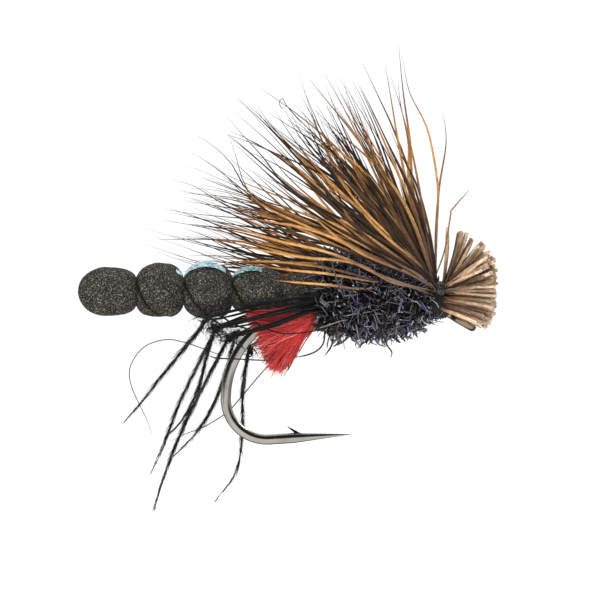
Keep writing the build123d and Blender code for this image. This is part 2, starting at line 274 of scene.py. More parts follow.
class Shader:
    """A Principled material and short names for the nodes that feed it."""

    def __init__(self, name, **sockets):
        self.material = bpy.data.materials.new(name)
        self.material.use_nodes = True
        self.nodes = self.material.node_tree.nodes
        self.links = self.material.node_tree.links
        self.bsdf = self.nodes["Principled BSDF"]
        for key, value in sockets.items():
            self.bsdf.inputs[key.replace("_", " ")].default_value = value

    def join(self, source, target):
        if hasattr(source, "links"):
            self.links.new(source, target)
        else:
            target.default_value = source

    def set(self, key, source):
        self.join(source, self.bsdf.inputs[key])

    def attribute(self, name):
        node = self.nodes.new("ShaderNodeAttribute")
        node.attribute_name = name
        return node.outputs["Fac"]

    def place(self):
        """Object coordinates in mm."""
        coords = self.nodes.new("ShaderNodeTexCoord")
        node = self.nodes.new("ShaderNodeMapping")
        self.links.new(coords.outputs["Object"], node.inputs["Vector"])
        node.inputs["Scale"].default_value = (1 / MM,) * 3
        return node.outputs["Vector"]

    def noise(self, scale, detail=2.0, rough=0.5):
        node = self.nodes.new("ShaderNodeTexNoise")
        self.links.new(self.place(), node.inputs["Vector"])
        node.inputs["Scale"].default_value = scale
        node.inputs["Detail"].default_value = detail
        node.inputs["Roughness"].default_value = rough
        return node.outputs["Fac"]

    def cells(self, scale, output="Distance"):
        node = self.nodes.new("ShaderNodeTexVoronoi")
        self.links.new(self.place(), node.inputs["Vector"])
        node.inputs["Scale"].default_value = scale
        return node.outputs[output]

    def split(self, kind, source):
        """The three parts of a colour (kind Color) or of a place (kind XYZ)."""
        node = self.nodes.new("ShaderNodeSeparate" + kind)
        self.links.new(source, node.inputs[0])
        return node.outputs

    def ramp(self, source, *stops):
        """Each stop is its position, then red, green and blue on screen, or else one plain value."""
        node = self.nodes.new("ShaderNodeValToRGB")
        elements = node.color_ramp.elements
        while len(elements) < len(stops):
            elements.new(0.5)
        for element, (position, *colour) in zip(elements, stops):
            element.position = position
            element.color = rgb(*colour) if len(colour) == 3 else (*colour * 3, 1)
        self.links.new(source, node.inputs["Fac"])
        return node.outputs["Color"]

    def math(self, operation, a, b):
        node = self.nodes.new("ShaderNodeMath")
        node.operation = operation
        self.join(a, node.inputs[0])
        self.join(b, node.inputs[1])
        return node.outputs[0]

    def mix(self, fac, a, b, blend="MIX"):
        node = self.nodes.new("ShaderNodeMix")
        node.data_type = "RGBA"
        node.blend_type = blend
        self.join(fac, node.inputs[0])
        self.join(a, node.inputs[6])
        self.join(b, node.inputs[7])
        return node.outputs[2]

    def times(self, a, b):
        return self.mix(1.0, a, b, "MULTIPLY")

    def bump(self, height, strength, distance):
        """distance is how tall the relief is, in mm."""
        node = self.nodes.new("ShaderNodeBump")
        self.links.new(height, node.inputs["Height"])
        node.inputs["Strength"].default_value = strength
        node.inputs["Distance"].default_value = distance * MM
        self.set("Normal", node.outputs["Normal"])

def mottled(name, tone, low, high, relief, strength, distance, **sockets):
    """Soft patches of two tones over a fine relief. tone and relief are what their noise takes."""
    s = Shader(name, **sockets)
    s.set("Base Color", s.ramp(s.noise(*tone), low, high))
    s.bump(s.noise(*relief), strength, distance)
    return s.material

def foam_material():
    s = Shader("foam_black", Roughness=0.7, Specular_IOR_Level=0.16)
    fleck = s.noise(7.4, 3.0, 0.62)
    # the middle stops are the foam's own dark tone; since fleck also shapes the bump, its low spots are
    # painted shade in the pits and its high spots painted glints
    base_and_pit_shade = ((0.30, 24, 24, 23), (0.45, 48, 47, 44), (0.55, 72, 70, 65))
    glints = ((0.63, 128, 125, 115), (0.72, 198, 194, 180))
    shade = s.ramp(s.noise(0.9), (0.3, 196, 196, 192), (0.7, 255, 255, 255))
    # painted shade: darkest in the creases where the folds lap
    fold_shade = s.ramp(s.attribute("crease"), (0.0, 255, 255, 255), (0.35, 150, 148, 145), (1.0, 42, 41, 40))
    s.set("Base Color", s.times(s.times(s.ramp(fleck, *base_and_pit_shade, *glints), shade), fold_shade))
    s.set("Roughness", s.ramp(fleck, (0.4, 0.75), (0.7, 0.42)))
    s.bump(s.math("ADD", fleck, s.math("MULTIPLY", s.cells(8.0), 0.5)), 1.0, 0.16)
    return s.material

def film_material(name, *tints):
    """Crinkled film: each facet takes one of the tints. The palest tints are partly the film's own pale
    colour and partly painted highlight on the facets.
    """
    s = Shader(name, Metallic=0.25, Roughness=0.18, Coat_Weight=0.5)
    facet = s.split("Color", s.cells(5.5, "Color"))
    s.set("Base Color", s.ramp(facet[0], *[(k / (len(tints) - 1), *t) for k, t in enumerate(tints)]))
    s.set("Roughness", s.ramp(facet[1], (0.2, 0.08), (0.8, 0.45)))
    s.bump(s.math("ADD", facet[2], s.noise(5.0)), 0.8, 0.10)
    return s.material

# Where the barb lies, as x and z from the low rear corner of the hook. There the hook is painted near-black
# as shade.
BARB_X = (5.4, 7.0)
BARB_Z = (0.99, 2.0)
# From this x on, the wire is tinted beige towards the eye.
EYE_X = -1.9

def hook_material():
    s = Shader("hook_nickel", Metallic=1.0, Roughness=0.16)
    steel = s.ramp(s.noise(0.6, 4.0, 0.6), (0.3, 184, 182, 174), (0.7, 216, 213, 205))
    spot = s.split("XYZ", s.place())
    # the cut faces of the barb are painted near-black, as shade
    dark = s.math("GREATER_THAN", spot["Z"], HOOK_LOW[2] + BARB_Z[0])
    dark = s.math("MULTIPLY", dark, s.math("LESS_THAN", spot["Z"], HOOK_LOW[2] + BARB_Z[1]))
    dark = s.math("MULTIPLY", dark, s.math("GREATER_THAN", spot["X"], HOOK_LOW[0] + BARB_X[0]))
    dark = s.math("MULTIPLY", dark, s.math("LESS_THAN", spot["X"], HOOK_LOW[0] + BARB_X[1]))
    # the eye is tinted beige
    eye = s.ramp(s.math("ADD", spot["X"], -EYE_X), (0.0, 0.0), (0.8, 1.0))
    steel = s.mix(eye, steel, rgb(178, 158, 136))
    s.set("Base Color", s.mix(dark, steel, rgb(26, 25, 25)))
    s.set("Roughness", s.ramp(s.noise(7.0, 3.0), (0.3, 0.13), (0.7, 0.24)))
    s.bump(s.noise(16.0, 3.0, 0.6), 0.12, 0.02)
    return s.material

def hair_material(name, gloss, rough, bright, dark):
    """Two colour runs along a hair, blended by the hair's own kind and shaded by its seed."""
    s = Shader(name, Specular_IOR_Level=gloss)
    seed = s.attribute("seed")
    fine = s.noise(11.0, 2.0, 0.6)
    # each hair's runs are shifted a little along it
    shifted = s.math("ADD", s.attribute("along"), s.math("MULTIPLY", s.math("SUBTRACT", seed, 0.5), 0.20))
    colour = s.mix(s.attribute("kind"), s.ramp(shifted, *bright), s.ramp(shifted, *dark))
    streak = s.math("MULTIPLY", s.noise(2.2, 3.0, 0.65), 0.6)
    streak = s.math("ADD", streak, s.math("MULTIPLY", fine, 0.4))
    colour = s.times(colour, s.ramp(streak, (0.34, 176, 170, 164), (0.62, 255, 255, 255)))
    value = s.ramp(seed, (0.0, 188, 184, 180), (0.55, 236, 236, 236), (1.0, 255, 255, 255))
    s.set("Base Color", s.times(colour, value))
    s.set("Roughness", s.ramp(fine, (0.3, rough - 0.08), (0.7, rough + 0.12)))
    s.bump(fine, 0.35, 0.02)
    return s.material

def fibre_material(name, gloss, rough, *stops):
    """A fibre whose colour is chosen by its kind and shaded by its seed."""
    s = Shader(name, Specular_IOR_Level=gloss)
    fine = s.noise(9.0, 2.0, 0.6)
    value = s.ramp(s.attribute("seed"), (0.0, 150, 150, 150), (0.6, 228, 228, 228), (1.0, 255, 255, 255))
    colour = s.times(s.ramp(s.attribute("kind"), *stops), value)
    s.set("Base Color", s.times(colour, s.ramp(fine, (0.32, 180, 180, 180), (0.6, 255, 255, 255))))
    s.set("Roughness", s.ramp(fine, (0.3, rough - 0.06), (0.7, rough + 0.1)))
    s.bump(fine, 0.4, 0.02)
    return s.material

def floor_material():
    s = Shader("floor_pale", Roughness=0.9, Emission_Color=(1, 1, 1, 1), Emission_Strength=0.66)
    s.set("Base Color", s.ramp(s.noise(0.02), (0.3, 247, 247, 247), (0.7, 252, 252, 252)))
    return s.material

# Studio ----------------------------------------------------------------------------------------
VIEW_CENTRE = Vector((-14.12, 0.0, 1.905)) * MM
VIEW_DISTANCE = 0.5
LENS, SENSOR = 346.4, 36.0
CLIP_NEAR, CLIP_FAR = 0.01, 50.0
# Each lamp is its place from the centre and its size in metres, its power, and whether gloss shows it.
LAMPS = {
    "key": ((-0.12, -0.30, 0.42), 0.22, 2.3, False),
    "rim": ((0.30, 0.10, 0.34), 0.18, 0.9, True),
    "low": ((-0.20, -0.36, -0.015), 0.20, 0.45, False),
}
FLOOR_Z = -26
FLOOR_LEFT, FLOOR_RIGHT, FLOOR_NEAR, FLOOR_FAR = -1500, 1500, -1500, 2500
SEEN_LIGHT, FILL_LIGHT, MIRROR_LIGHT = 1.05, 0.43, 0.80

def sky():
    """A world that looks white and lights evenly, but shows the hook dark panels to mirror."""
    world = bpy.data.worlds.new("studio")
    world.use_nodes = True
    nodes, links = world.node_tree.nodes, world.node_tree.links
    nodes.clear()

    def math_node(operation, a, b):
        node = nodes.new("ShaderNodeMath")
        node.operation = operation
        for source, socket in zip((a, b), node.inputs):
            if hasattr(source, "links"):
                links.new(source, socket)
            else:
                socket.default_value = source
        return node.outputs[0]

    def step(source, low, high):
        """0 below low, 1 above high."""
        node = nodes.new("ShaderNodeMapRange")
        node.interpolation_type = "SMOOTHSTEP"
        node.inputs["From Min"].default_value = low
        node.inputs["From Max"].default_value = high
        links.new(source, node.inputs["Value"])
        return node.outputs["Result"]

    def fall(source, low, high):
        """1 below low, 0 above high."""
        return math_node("SUBTRACT", 1.0, step(source, low, high))

    def background(strength, colour=(1, 1, 1, 1)):
        node = nodes.new("ShaderNodeBackground")
        node.inputs["Color"].default_value = colour
        if hasattr(strength, "links"):
            links.new(strength, node.inputs["Strength"])
        else:
            node.inputs["Strength"].default_value = strength
        return node.outputs[0]

    def choose(test, no, yes):
        node = nodes.new("ShaderNodeMixShader")
        for source, socket in zip((test, no, yes), node.inputs):
            links.new(source, socket)
        return node.outputs[0]

    split = nodes.new("ShaderNodeSeparateXYZ")
    links.new(nodes.new("ShaderNodeTexCoord").outputs["Generated"], split.inputs[0])
    x, y, z = split.outputs
    above = step(z, 0.00, 0.16)
    # the dark sky reaches further back on the tail side, where the bend of the hook mirrors it
    leaning = math_node("MULTIPLY", math_node("MINIMUM", x, 0.0), 1.1)
    front = fall(math_node("ADD", y, leaning), -0.38, -0.08)
    dark = math_node("MULTIPLY", above, front)
    right = math_node("MULTIPLY", step(x, 0.62, 0.80), fall(math_node("ABSOLUTE", z, 0.0), 0.20, 0.45))
    dark = math_node("MAXIMUM", dark, math_node("MULTIPLY", right, 0.62))
    # the far side, low down: it draws the thin dark outline of a bright wire
    behind = math_node("MULTIPLY", step(y, 0.12, 0.46), fall(z, -0.05, 0.20))
    dark = math_node("MAXIMUM", dark, math_node("MULTIPLY", behind, 0.86))
    mirrored = math_node("SUBTRACT", MIRROR_LIGHT, math_node("MULTIPLY", dark, 0.785))

    path = nodes.new("ShaderNodeLightPath").outputs
    mirror = background(mirrored, (1.0, 0.99, 0.97, 1))
    unseen = choose(path["Is Glossy Ray"], background(FILL_LIGHT), mirror)
    shown = choose(path["Is Camera Ray"], unseen, background(SEEN_LIGHT))
    links.new(shown, nodes.new("ShaderNodeOutputWorld").inputs["Surface"])
    return world

def studio():
    scene = bpy.context.scene
    scene.world = sky()
    scene.view_settings.view_transform = "Standard"

    data = bpy.data.cameras.new("camera")
    data.sensor_width, data.lens = SENSOR, LENS
    data.clip_start, data.clip_end = CLIP_NEAR, CLIP_FAR
    camera = bpy.data.objects.new("camera", data)
    camera.location = VIEW_CENTRE + Vector((0, -VIEW_DISTANCE, 0))
    camera.rotation_euler = (math.radians(90), 0, 0)
    scene.collection.objects.link(camera)
    scene.camera = camera

    for name, (place, size, power, glossy) in LAMPS.items():
        lamp = bpy.data.lights.new(name, "AREA")
        lamp.shape = "DISK"
        lamp.size = size
        lamp.energy = power
        obj = bpy.data.objects.new(name, lamp)
        obj.location = VIEW_CENTRE + Vector(place)
        obj.rotation_euler = (VIEW_CENTRE - obj.location).to_track_quat("-Z", "Y").to_euler()
        obj.visible_glossy = glossy
        obj.visible_camera = False
        scene.collection.objects.link(obj)

    corners = [
        (FLOOR_LEFT, FLOOR_NEAR), (FLOOR_RIGHT, FLOOR_NEAR), (FLOOR_RIGHT, FLOOR_FAR), (FLOOR_LEFT, FLOOR_FAR)
    ]
    points = np.array([(*corner, FLOOR_Z) for corner in corners], float)
    uv = np.array([(0, 0), (1, 0), (1, 1), (0, 1)], float)
    floor = mesh_object("floor", points, [np.array([[0, 1, 2, 3]])], floor_material(), [uv])
    floor.visible_glossy = False

studio()

# Foam abdomen ----------------------------------------------------------------------------------
BEADS = (FOAM_TIP_X, -28.30, -24.20, -20.00, -15.50, -12.25)
BEAD_R = (2.10, 2.36, 2.36, 2.02, 1.62)
PINCH_R = 1.16
# Where the strand under each bead shows: the bead, how far its fold slants and how deep it lies.
FOLDS = ((1, 1.95, 0.22), (2, 2.60, 0.24), (3, 2.2, 0.18))

def bead_radius(x, bead, start):
    """Radius of one bead of the foam, which begins at start."""
    end, full = BEADS[bead + 1], BEAD_R[bead]
    t = np.clip((x - start) / (end - start), 0, 1)
    if bead == 0:
        rear = np.maximum(1 - np.abs(2 * np.minimum(t, 0.5) - 1) ** 2.2, 0) ** 0.5 * full
        fore = np.maximum(1 - np.abs(2 * np.maximum(t, 0.5) - 1) ** 2.6, 0) ** 0.55
        return np.where(t < 0.5, rear, PINCH_R + (full - PINCH_R) * fore)
    close = PINCH_R if bead < 4 else 1.0
    low = PINCH_R + (close - PINCH_R) * t
    return low + (full - low) * np.maximum(1 - (2 * t**0.9 - 1) ** 2, 0) ** 0.66

def foam_radius(x):
    """Radius of the foam at x, without its folds."""
    radius = np.zeros_like(x)
    for bead in range(len(BEAD_R)):
        inside = (x >= BEADS[bead]) & (x <= BEADS[bead + 1])
        radius = np.where(inside, bead_radius(x, bead, BEADS[bead]), radius)
    return radius

def folded_radius(x, turn):
    """Radius and the painted shade of its crease, at x and an angle: 0 at the camera side, a quarter turn up.
    """
    radius = foam_radius(x)
    crease = np.zeros_like(x)
    degrees = (np.degrees(turn) + 180) % 360 - 180
    for bead, slant, deep in FOLDS:
        for way in (0, 180):
            facing = (degrees - way + 180) % 360 - 180
            fold_x = BEADS[bead] + 0.02 + slant * np.clip((58 - facing) / 140, 0, 1) ** 2.1
            fade = smooth((72 - facing) / 22) * smooth((facing + 98) / 26)
            fade = fade * ((x >= BEADS[bead]) & (x <= BEADS[bead + 1]))
            under = radius - deep
            lapped = np.where(x > fold_x, np.maximum(bead_radius(x, bead, fold_x), under - 0.10), under)
            radius = radius + (lapped - radius) * fade
            gap = x - fold_x
            strength = fade * np.clip((facing + 120) / 130, 0.25, 1)
            crease = np.maximum(crease, strength * np.exp(-np.abs(gap) / np.where(gap < 0, 0.15, 0.08)))
    return radius, crease

def foam():
    rings, sides = 400, 226
    t = np.linspace(0, 1, rings)
    # rings crowd at the rounded tip
    x = FOAM_TIP_X + (BEADS[-1] - FOAM_TIP_X) * np.where(t < 0.08, 0.08 * (t / 0.08) ** 2, t)
    x[0] = FOAM_TIP_X + 0.0015
    gx, gt = np.meshgrid(x, angles(sides), indexing="ij")
    radius, crease = folded_radius(gx, gt)
    # the second bead sits a little proud of the line
    height = FOAM_Z + 0.15 * np.exp(-(((gx + 26.2) / 1.5) ** 2))
    flat = np.stack([gx, -radius * np.cos(gt), height + radius * np.sin(gt)], -1).reshape(-1, 3)
    broad = grain(flat, 0.55, 3.0) * 0.07
    cells = grain(flat, 3.4, 9.0) * 0.024 + grain(flat, 7.5, 5.0) * 0.022
    push = unit(np.stack([np.zeros(gx.size), -np.cos(gt).ravel(), np.sin(gt).ravel()], -1))
    ends = smooth((flat[:, 0] - FOAM_TIP_X) / 0.6)
    flat = flat + push * (broad * ends + cells * (0.3 + 0.7 * ends))[:, None]
    skin = flat.reshape(rings, sides, 3)
    # the painted shade of the creases goes on the foam as an attribute
    obj = grid_object("foam_abdomen", skin, foam_material(), crease=crease.ravel())
    obj.visible_glossy = False
    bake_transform(obj)
    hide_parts("foam_abdomen_front", "foam_abdomen_rear")

def film_strip(name, start, end, lift, degrees, seed, paint, node, body):
    """A crinkled strip that stands a little off the back of the foam from start to end."""
    rings, sides = 64, 30
    x, turn = np.linspace(start, end, rings), np.radians(np.linspace(*degrees, sides))
    gx, ga = np.meshgrid(x, turn, indexing="ij")
    stand = 0.06 + lift * np.sin(np.pi * np.clip((gx - start) / (end - start), 0, 1)) ** 0.6
    radius = foam_radius(gx) + stand
    flat = np.stack([gx, -radius * np.cos(ga), FOAM_Z + radius * np.sin(ga)], -1).reshape(-1, 3)
    crinkle = grain(flat, 1.6, seed) * 0.06 + grain(flat, 4.0, seed + 4) * 0.035
    out = unit((flat - [0, 0, FOAM_Z]) * [0, 1, 1])
    outer = flat + out * crinkle[:, None]
    inner = outer - out * 0.05
    skin = [outer.reshape(rings, sides, 3), inner.reshape(rings, sides, 3)[:, ::-1]]
    settle(grid_object(name, np.concatenate(skin, axis=1), paint), "flash_film", node, body=body)

foam()
pale_film = film_material(
    "film_flash", (120, 196, 214), (238, 250, 252), (74, 160, 168), (196, 236, 244),
    (120, 190, 206), (228, 246, 250), (110, 120, 180), (86, 168, 140), (206, 190, 226),
)
deep_film = film_material(
    "film_flash_deep", (60, 150, 140), (150, 208, 210), (44, 110, 92), (96, 172, 150),
    (176, 220, 222), (96, 92, 160), (64, 136, 90), (150, 124, 186),
)
for piece, start, end, lift, degrees, seed, paint, node, body in (
    ("front", BEADS[2] + 0.10, BEADS[3] - 0.55, 0.20, (56, 128), 1.0, pale_film, "front", ROOT),
    ("waist", BEADS[3] + 0.06, BEADS[4] - 1.90, 0.14, (56, 128), 7.0, deep_film, "front", ROOT),
    ("rear", BEADS[2] - 0.62, BEADS[2] - 0.12, 0.03, (60, 126), 4.0, pale_film, "rear", TAIL),
):
    film_strip("flash_film_" + piece, start, end, lift, degrees, seed, paint, "flash_film_" + node, body)

# Hook, and the thread that is seen as it is in CAD ---------------------------------------------
def dress_cad(node, material):
    """A CAD piece that is seen as it is, in a better finish."""
    obj = frame["nodes"][node]
    for slot in obj.material_slots:
        slot.material = material
    if not obj.material_slots:
        obj.data.materials.append(material)

black_thread = mottled(
    "thread_black", (3.0, 3.0, 0.6), (0.3, 16, 16, 16), (0.7, 38, 38, 36), (24.0, 2.0, 0.6), 0.5,
    0.02, Roughness=0.42, Specular_IOR_Level=0.25,
)
dress_cad("hook", hook_material())
dress_cad("thread_base", black_thread)
dress_cad("thorax_core", black_thread)

# Thread ----------------------------------------------------------------------------------------
def wound(name, loops, wire, material, slot):
    """Rings of thread side by side. loops has one ring of points for each turn."""
    groups = []
    for ring in loops:
        closed = np.concatenate([ring, ring[:2]])
        groups.append(dict(paths=closed[None], radii=wire, sides=7, hint=(1, 0.001, 0), seed=0.5))
    settle(outward(strands(name, groups, material)), slot, name)

def thread_head():
    """A cone of smooth wraps that leans back under the collar."""
    rng = np.random.default_rng(5)
    rings, turn = 74, angles(96)
    up = (np.sin(turn) + 1) / 2
    rows = []
    for k in range(rings):
        t = k / (rings - 1)
        low_x = -3.75 + 2.65 * t
        high_x = COLLAR[0] - 0.45 + 0.72 * t
        low_z = SHANK_Z - 0.62 - 0.42 * hump(t, 0.02) ** 0.6
        high_z = COLLAR[2] - 0.20 + 0.25 * math.sin(math.pi * t)
        wide = 0.55 + 0.52 * hump(t, 0.03) ** 0.7
        ridge = 1 + 0.040 * math.cos(k * TAU / 6.2) + rng.normal(0, 0.006)
        x = low_x + (high_x - low_x) * up
        z = low_z + (high_z - low_z) * up
        mid_z = (low_z + high_z) / 2
        y = -np.cos(turn) * wide * ridge * (1 - 0.18 * up)
        rows.append(np.stack([x, y, mid_z + (z - mid_z) * ridge], -1))
    paint = mottled(
        "thread_wraps", (3.5, 3.0, 0.6), (0.3, 20, 21, 20), (0.7, 48, 49, 47), (20.0, 2.0), 0.35,
        0.02, Roughness=0.36, Specular_IOR_Level=0.35,
    )
    settle(grid_object("thread_head", np.array(rows), paint), "black_thread", "thread_head")

def collar_ring(x, turn, extra, extra_z=None):
    """A ring round the collar's neck, extra mm off it to the sides and extra_z above and below."""
    extra_z = extra if extra_z is None else extra_z
    y = -np.cos(turn) * (0.80 + extra)
    z = COLLAR[2] - 0.14 + np.sin(turn) * (0.66 + extra_z)
    return np.stack([x, y, z], -1)

def collar():
    rng = np.random.default_rng(8)
    turn = angles(48)
    wraps = 9
    loops = []
    for k in range(wraps):
        x = COLLAR[0] - 0.27 + 0.066 * k + rng.normal(0, 0.01)
        extra = 0.06 + 0.05 * math.sin(math.pi * (k + 0.5) / wraps) + rng.normal(0, 0.012)
        tilt = rng.normal(0, 0.03)
        loops.append(collar_ring(x + tilt * np.sin(turn) + 0.04 * np.cos(turn), turn, extra))
    paint = mottled(
        "collar_gloss", (4.0,), (0.35, 10, 15, 12), (0.7, 34, 46, 38), (20.0,), 0.4, 0.02,
        Roughness=0.16, Specular_IOR_Level=0.7, Coat_Weight=0.5, Coat_Roughness=0.08,
    )
    wound("thread_collar", loops, 0.058, paint, "collar_thread")

def cement():
    turn = angles(48)
    rows = []
    for t in np.linspace(0, 1, 18):
        bulge = hump(t, 0.04) ** 0.5
        x = np.full(len(turn), COLLAR[0] - 0.33 + 0.66 * t)
        rows.append(collar_ring(x, turn, 0.16 * bulge, 0.17 * bulge))
    skin = np.array(rows)
    skin = skin + 0.01 * grain(skin.reshape(-1, 3), 3.0, 2.0).reshape(*skin.shape[:2], 1)
    paint = mottled(
        "cement_clear", (2.0,), (0.3, 232, 236, 232), (0.7, 250, 250, 246), (6.0,), 0.25, 0.02,
        Roughness=0.07, IOR=1.5, Transmission_Weight=0.96, Coat_Weight=0.6,
    )
    settle(grid_object("head_cement", skin, paint), "clear_cement", "head_cement")

def binding():
    rng = np.random.default_rng(9)
    low, high = cad("rear_binding")
    mid = (low + high) / 2
    half = (high - low) / 2
    turn = angles(56)
    wraps = 13
    loops = []
    for k in range(wraps):
        x = low[0] + (high[0] - low[0]) * (k + 0.5) / wraps + rng.normal(0, 0.02)
        wide = half[1] * (0.97 + rng.normal(0, 0.015))
        tall = half[2] * (0.97 + rng.normal(0, 0.012))
        ring = [x + 0.05 * np.sin(turn + k), -np.cos(turn) * wide, mid[2] + np.sin(turn) * tall]
        loops.append(np.stack(ring, -1))
    wound("rear_binding", loops, 0.06, black_thread, "black_thread")

thread_head()
collar()
cement()
binding()

# Hair ------------------------------------------------------------------------------------------
def fan_dir(rise, yaw, way):
    """A direction rise degrees above the shank, turned yaw degrees towards -Y. way -1 is backwards."""
    rise, yaw = np.radians(rise), np.radians(yaw)
    return np.stack([way * np.cos(rise) * np.cos(yaw), -np.sin(yaw), np.sin(rise) * np.cos(yaw)], -1)

# The circle that the wing's tips reach, from the collar: its centre's x and z, and its radius.
TIP_X, TIP_Z, TIP_R = -4.0, -2.0, 22.3

def wing_reach(rise):
    """How far the tips of the wing reach from the collar at this rise."""
    rise = np.radians(rise)
    dot = -np.cos(rise) * TIP_X + np.sin(rise) * TIP_Z
    return dot + np.sqrt(dot**2 - (TIP_X**2 + TIP_Z**2 - TIP_R**2))

# Thickness of a wing hair along its length, and of a stray one.
WING_TAPER = (
    (0.0, 0.05, 0.14, 0.30, 0.50, 0.64, 0.74, 0.82, 0.89, 0.95, 1.0),
    (0.50, 0.64, 0.84, 1.0, 0.96, 0.78, 0.58, 0.38, 0.24, 0.14, 0.06),
)
STRAY_TAPER = ((0, 0.1, 0.8, 1), (0.7, 1, 0.9, 0.3))
# Where the wing parts and shows light: a line as x, z from the collar, and how wide it is.
PARTINGS = (
    (-12.5, 5.2, -9.2, 3.15, 0.11), (-9.8, 6.5, -8.9, 5.4, 0.08), (-12.9, 10.5, -11.0, 7.9, 0.13),
    (-13.2, 7.4, -11.6, 6.1, 0.10), (-16.8, 4.9, -15.4, 4.0, 0.09), (-7.1, 12.4, -5.4, 9.0, 0.14),
    (-4.6, 13.8, -3.3, 10.6, 0.24), (-1.6, 14.5, -0.7, 4.5, 0.40), (-14.9, 9.3, -12.9, 7.8, 0.08),
)
# The upper middle of the wing, as rises, is thinner than the rest: this share of its hair is left out.
THIN_LOW, THIN_HIGH, THIN_SHARE = 34, 59, 0.32
# No hair comes this near to the foam's axis past this x, where the tail and its film bend.
CLEAR_X, CLEAR_R = HINGE[0] + 1.3, 2.3

def in_parting(paths):
    """Which hairs cross a parting of the wing."""
    crossed = np.zeros(len(paths), bool)
    flat = (paths - COLLAR)[:, :, [0, 2]]
    for x0, z0, x1, z1, width in PARTINGS:
        start, span = np.array([x0, z0]), np.array([x1 - x0, z1 - z0])
        t = np.clip(((flat - start) @ span) / (span @ span), 0, 1)
        gap = np.linalg.norm(flat - start - t[:, :, None] * span, axis=2)
        crossed |= gap.min(axis=1) < width
    return crossed

def wing_group(rng, rise, yaw, reach, base, kind, bend, wave):
    """Hairs that leave the collar, wander a little and end on the circle of the tips."""
    count = len(rise)
    t = np.linspace(0, 1, 20)[None]
    phase = rng.uniform(0, TAU, (count, 2))
    rate = rng.uniform(0.55, 1.2, (count, 2)) * TAU
    wave = smooth(t / 0.2) * wave[:, None]
    heading = rise[:, None] + bend[:, None] * (1 - 2 * t) + wave * np.sin(rate[:, :1] * t + phase[:, :1])
    turned = yaw[:, None] * (1.35 - 0.7 * t) + wave * 0.8 * np.sin(rate[:, 1:] * t + phase[:, 1:])
    across, up = on_disc(rng, count).T
    root = [-0.2 + 0.1 * across, 0.55 * across - 0.3 * np.sin(np.radians(yaw)), 0.40 * up]
    origin = COLLAR + np.stack(root, -1)
    paths = walk(origin, fan_dir(heading, turned, -1), wing_reach(rise) * reach)
    radii = base[:, None] * np.interp(t, *WING_TAPER)
    seed = rng.uniform(0, 1, count)
    thinned = (rise > THIN_LOW) & (rise < THIN_HIGH) & (seed < THIN_SHARE)
    off_axis = np.hypot(paths[:, :, 1], paths[:, :, 2] - FOAM_Z)
    on_tail = ((paths[:, :, 0] < CLEAR_X) & (off_axis < CLEAR_R)).any(axis=1)
    keep = ~in_parting(paths) & ~thinned & ~on_tail
    return dict(paths=paths[keep], radii=radii[keep], sides=6, seed=seed[keep], kind=kind[keep])

def wing_bunch(rng, clumps, count, rises, wide, near, spread, reaches, size, kinds, bend, wave):
    """Clumps of hair that lie side by side."""
    low, high = rises
    clump_rise = low + (high - low) * (np.arange(clumps) + rng.uniform(0, 1, clumps)) / clumps
    clump_yaw = rng.uniform(-wide, wide, clumps)
    clump_bend = rng.normal(*bend, clumps)
    clump_reach = rng.uniform(-0.06, 0.05, clumps)
    pick = rng.integers(0, clumps, count)
    rise = clump_rise[pick] + rng.normal(0, spread, count)
    yaw = clump_yaw[pick] + rng.normal(0, 3.5, count)
    # low hair lies over the top of the thorax, not in front of it
    yaw = np.where((rise < 30) & (yaw > near), near - (yaw - near) * 0.5, yaw)
    short, long = reaches
    reach = (rng.beta(3.0, 1.7, count) * (long - short) + short + clump_reach[pick]).clip(0.3, 1.04)
    usual, differ, dark = kinds
    kind = np.clip(rng.normal(usual, differ, count), 0, 1)
    # more of the hair is dark towards the front edge and low down
    dark_share = dark + 0.22 * smooth((rise - 40) / 16) + 0.10 * smooth((32 - rise) / 12)
    kind = np.where(rng.uniform(0, 1, count) < dark_share, rng.uniform(0.90, 1, count), kind)
    curve = clump_bend[pick] + rng.normal(0, 2.0, count)
    base = rng.uniform(*size, count)
    return wing_group(rng, rise, yaw, reach, base, kind, curve, rng.uniform(*wave, count))

def placed_hairs(rng, routes, rings, along, taper):
    """Single hairs that follow listed points. along says where on its colour run a kind lies."""
    groups = []
    shape = np.interp(np.linspace(0, 1, rings), *taper)
    for radius, kind, *points in routes:
        path = spline(points, rings)
        hair = dict(paths=path[None], radii=(radius * shape)[None], sides=6, kind=kind)
        groups.append(dict(hair, seed=rng.uniform(0.5, 1), along=along(kind)))
    return groups

# The bunches of the wing. Each is its number of clumps and of hairs, the rises that it fills, its
# widest yaw, the yaw that its low hairs keep to, how far a clump spreads, its shortest and longest
# reach, the radii, the usual kind with its spread and the share that is dark, the bend and the wave.
WING_BUNCHES = (
    (70, 205, (6, 62), 30, 3, 2.6, (0.64, 1.02), (0.105, 0.150), (0.12, 0.16, 0.32), (1.5, 5.0), (4.0, 13.0)),
    (10, 20, (59, 73), 16, 3, 2.2, (0.74, 1.0), (0.09, 0.13), (0.20, 0.2, 0.6), (2.0, 3.0), (2.5, 6.0)),
    (40, 120, (7, 59), 30, 0, 3.5, (0.42, 0.88), (0.10, 0.14), (0.30, 0.2, 0.40), (0.5, 5.0), (3.5, 12.0)),
    (40, 150, (8, 61), 28, -2, 3.0, (0.30, 0.66), (0.10, 0.14), (0.96, 0.06, 0.5), (0.0, 3.5), (1.5, 6.0)),
    # dark hair that stands up behind the front edge
    (6, 46, (59, 76), 8, 0, 1.8, (0.30, 0.60), (0.10, 0.14), (0.93, 0.08, 0.5), (0.5, 1.5), (0.5, 2.5)),
    # fine dark tips past the rest
    (40, 60, (7, 72), 30, 3, 3.4, (0.82, 1.04), (0.06, 0.09), (0.9, 0.12, 0.5), (1.0, 5.0), (4.0, 13.0)),
)
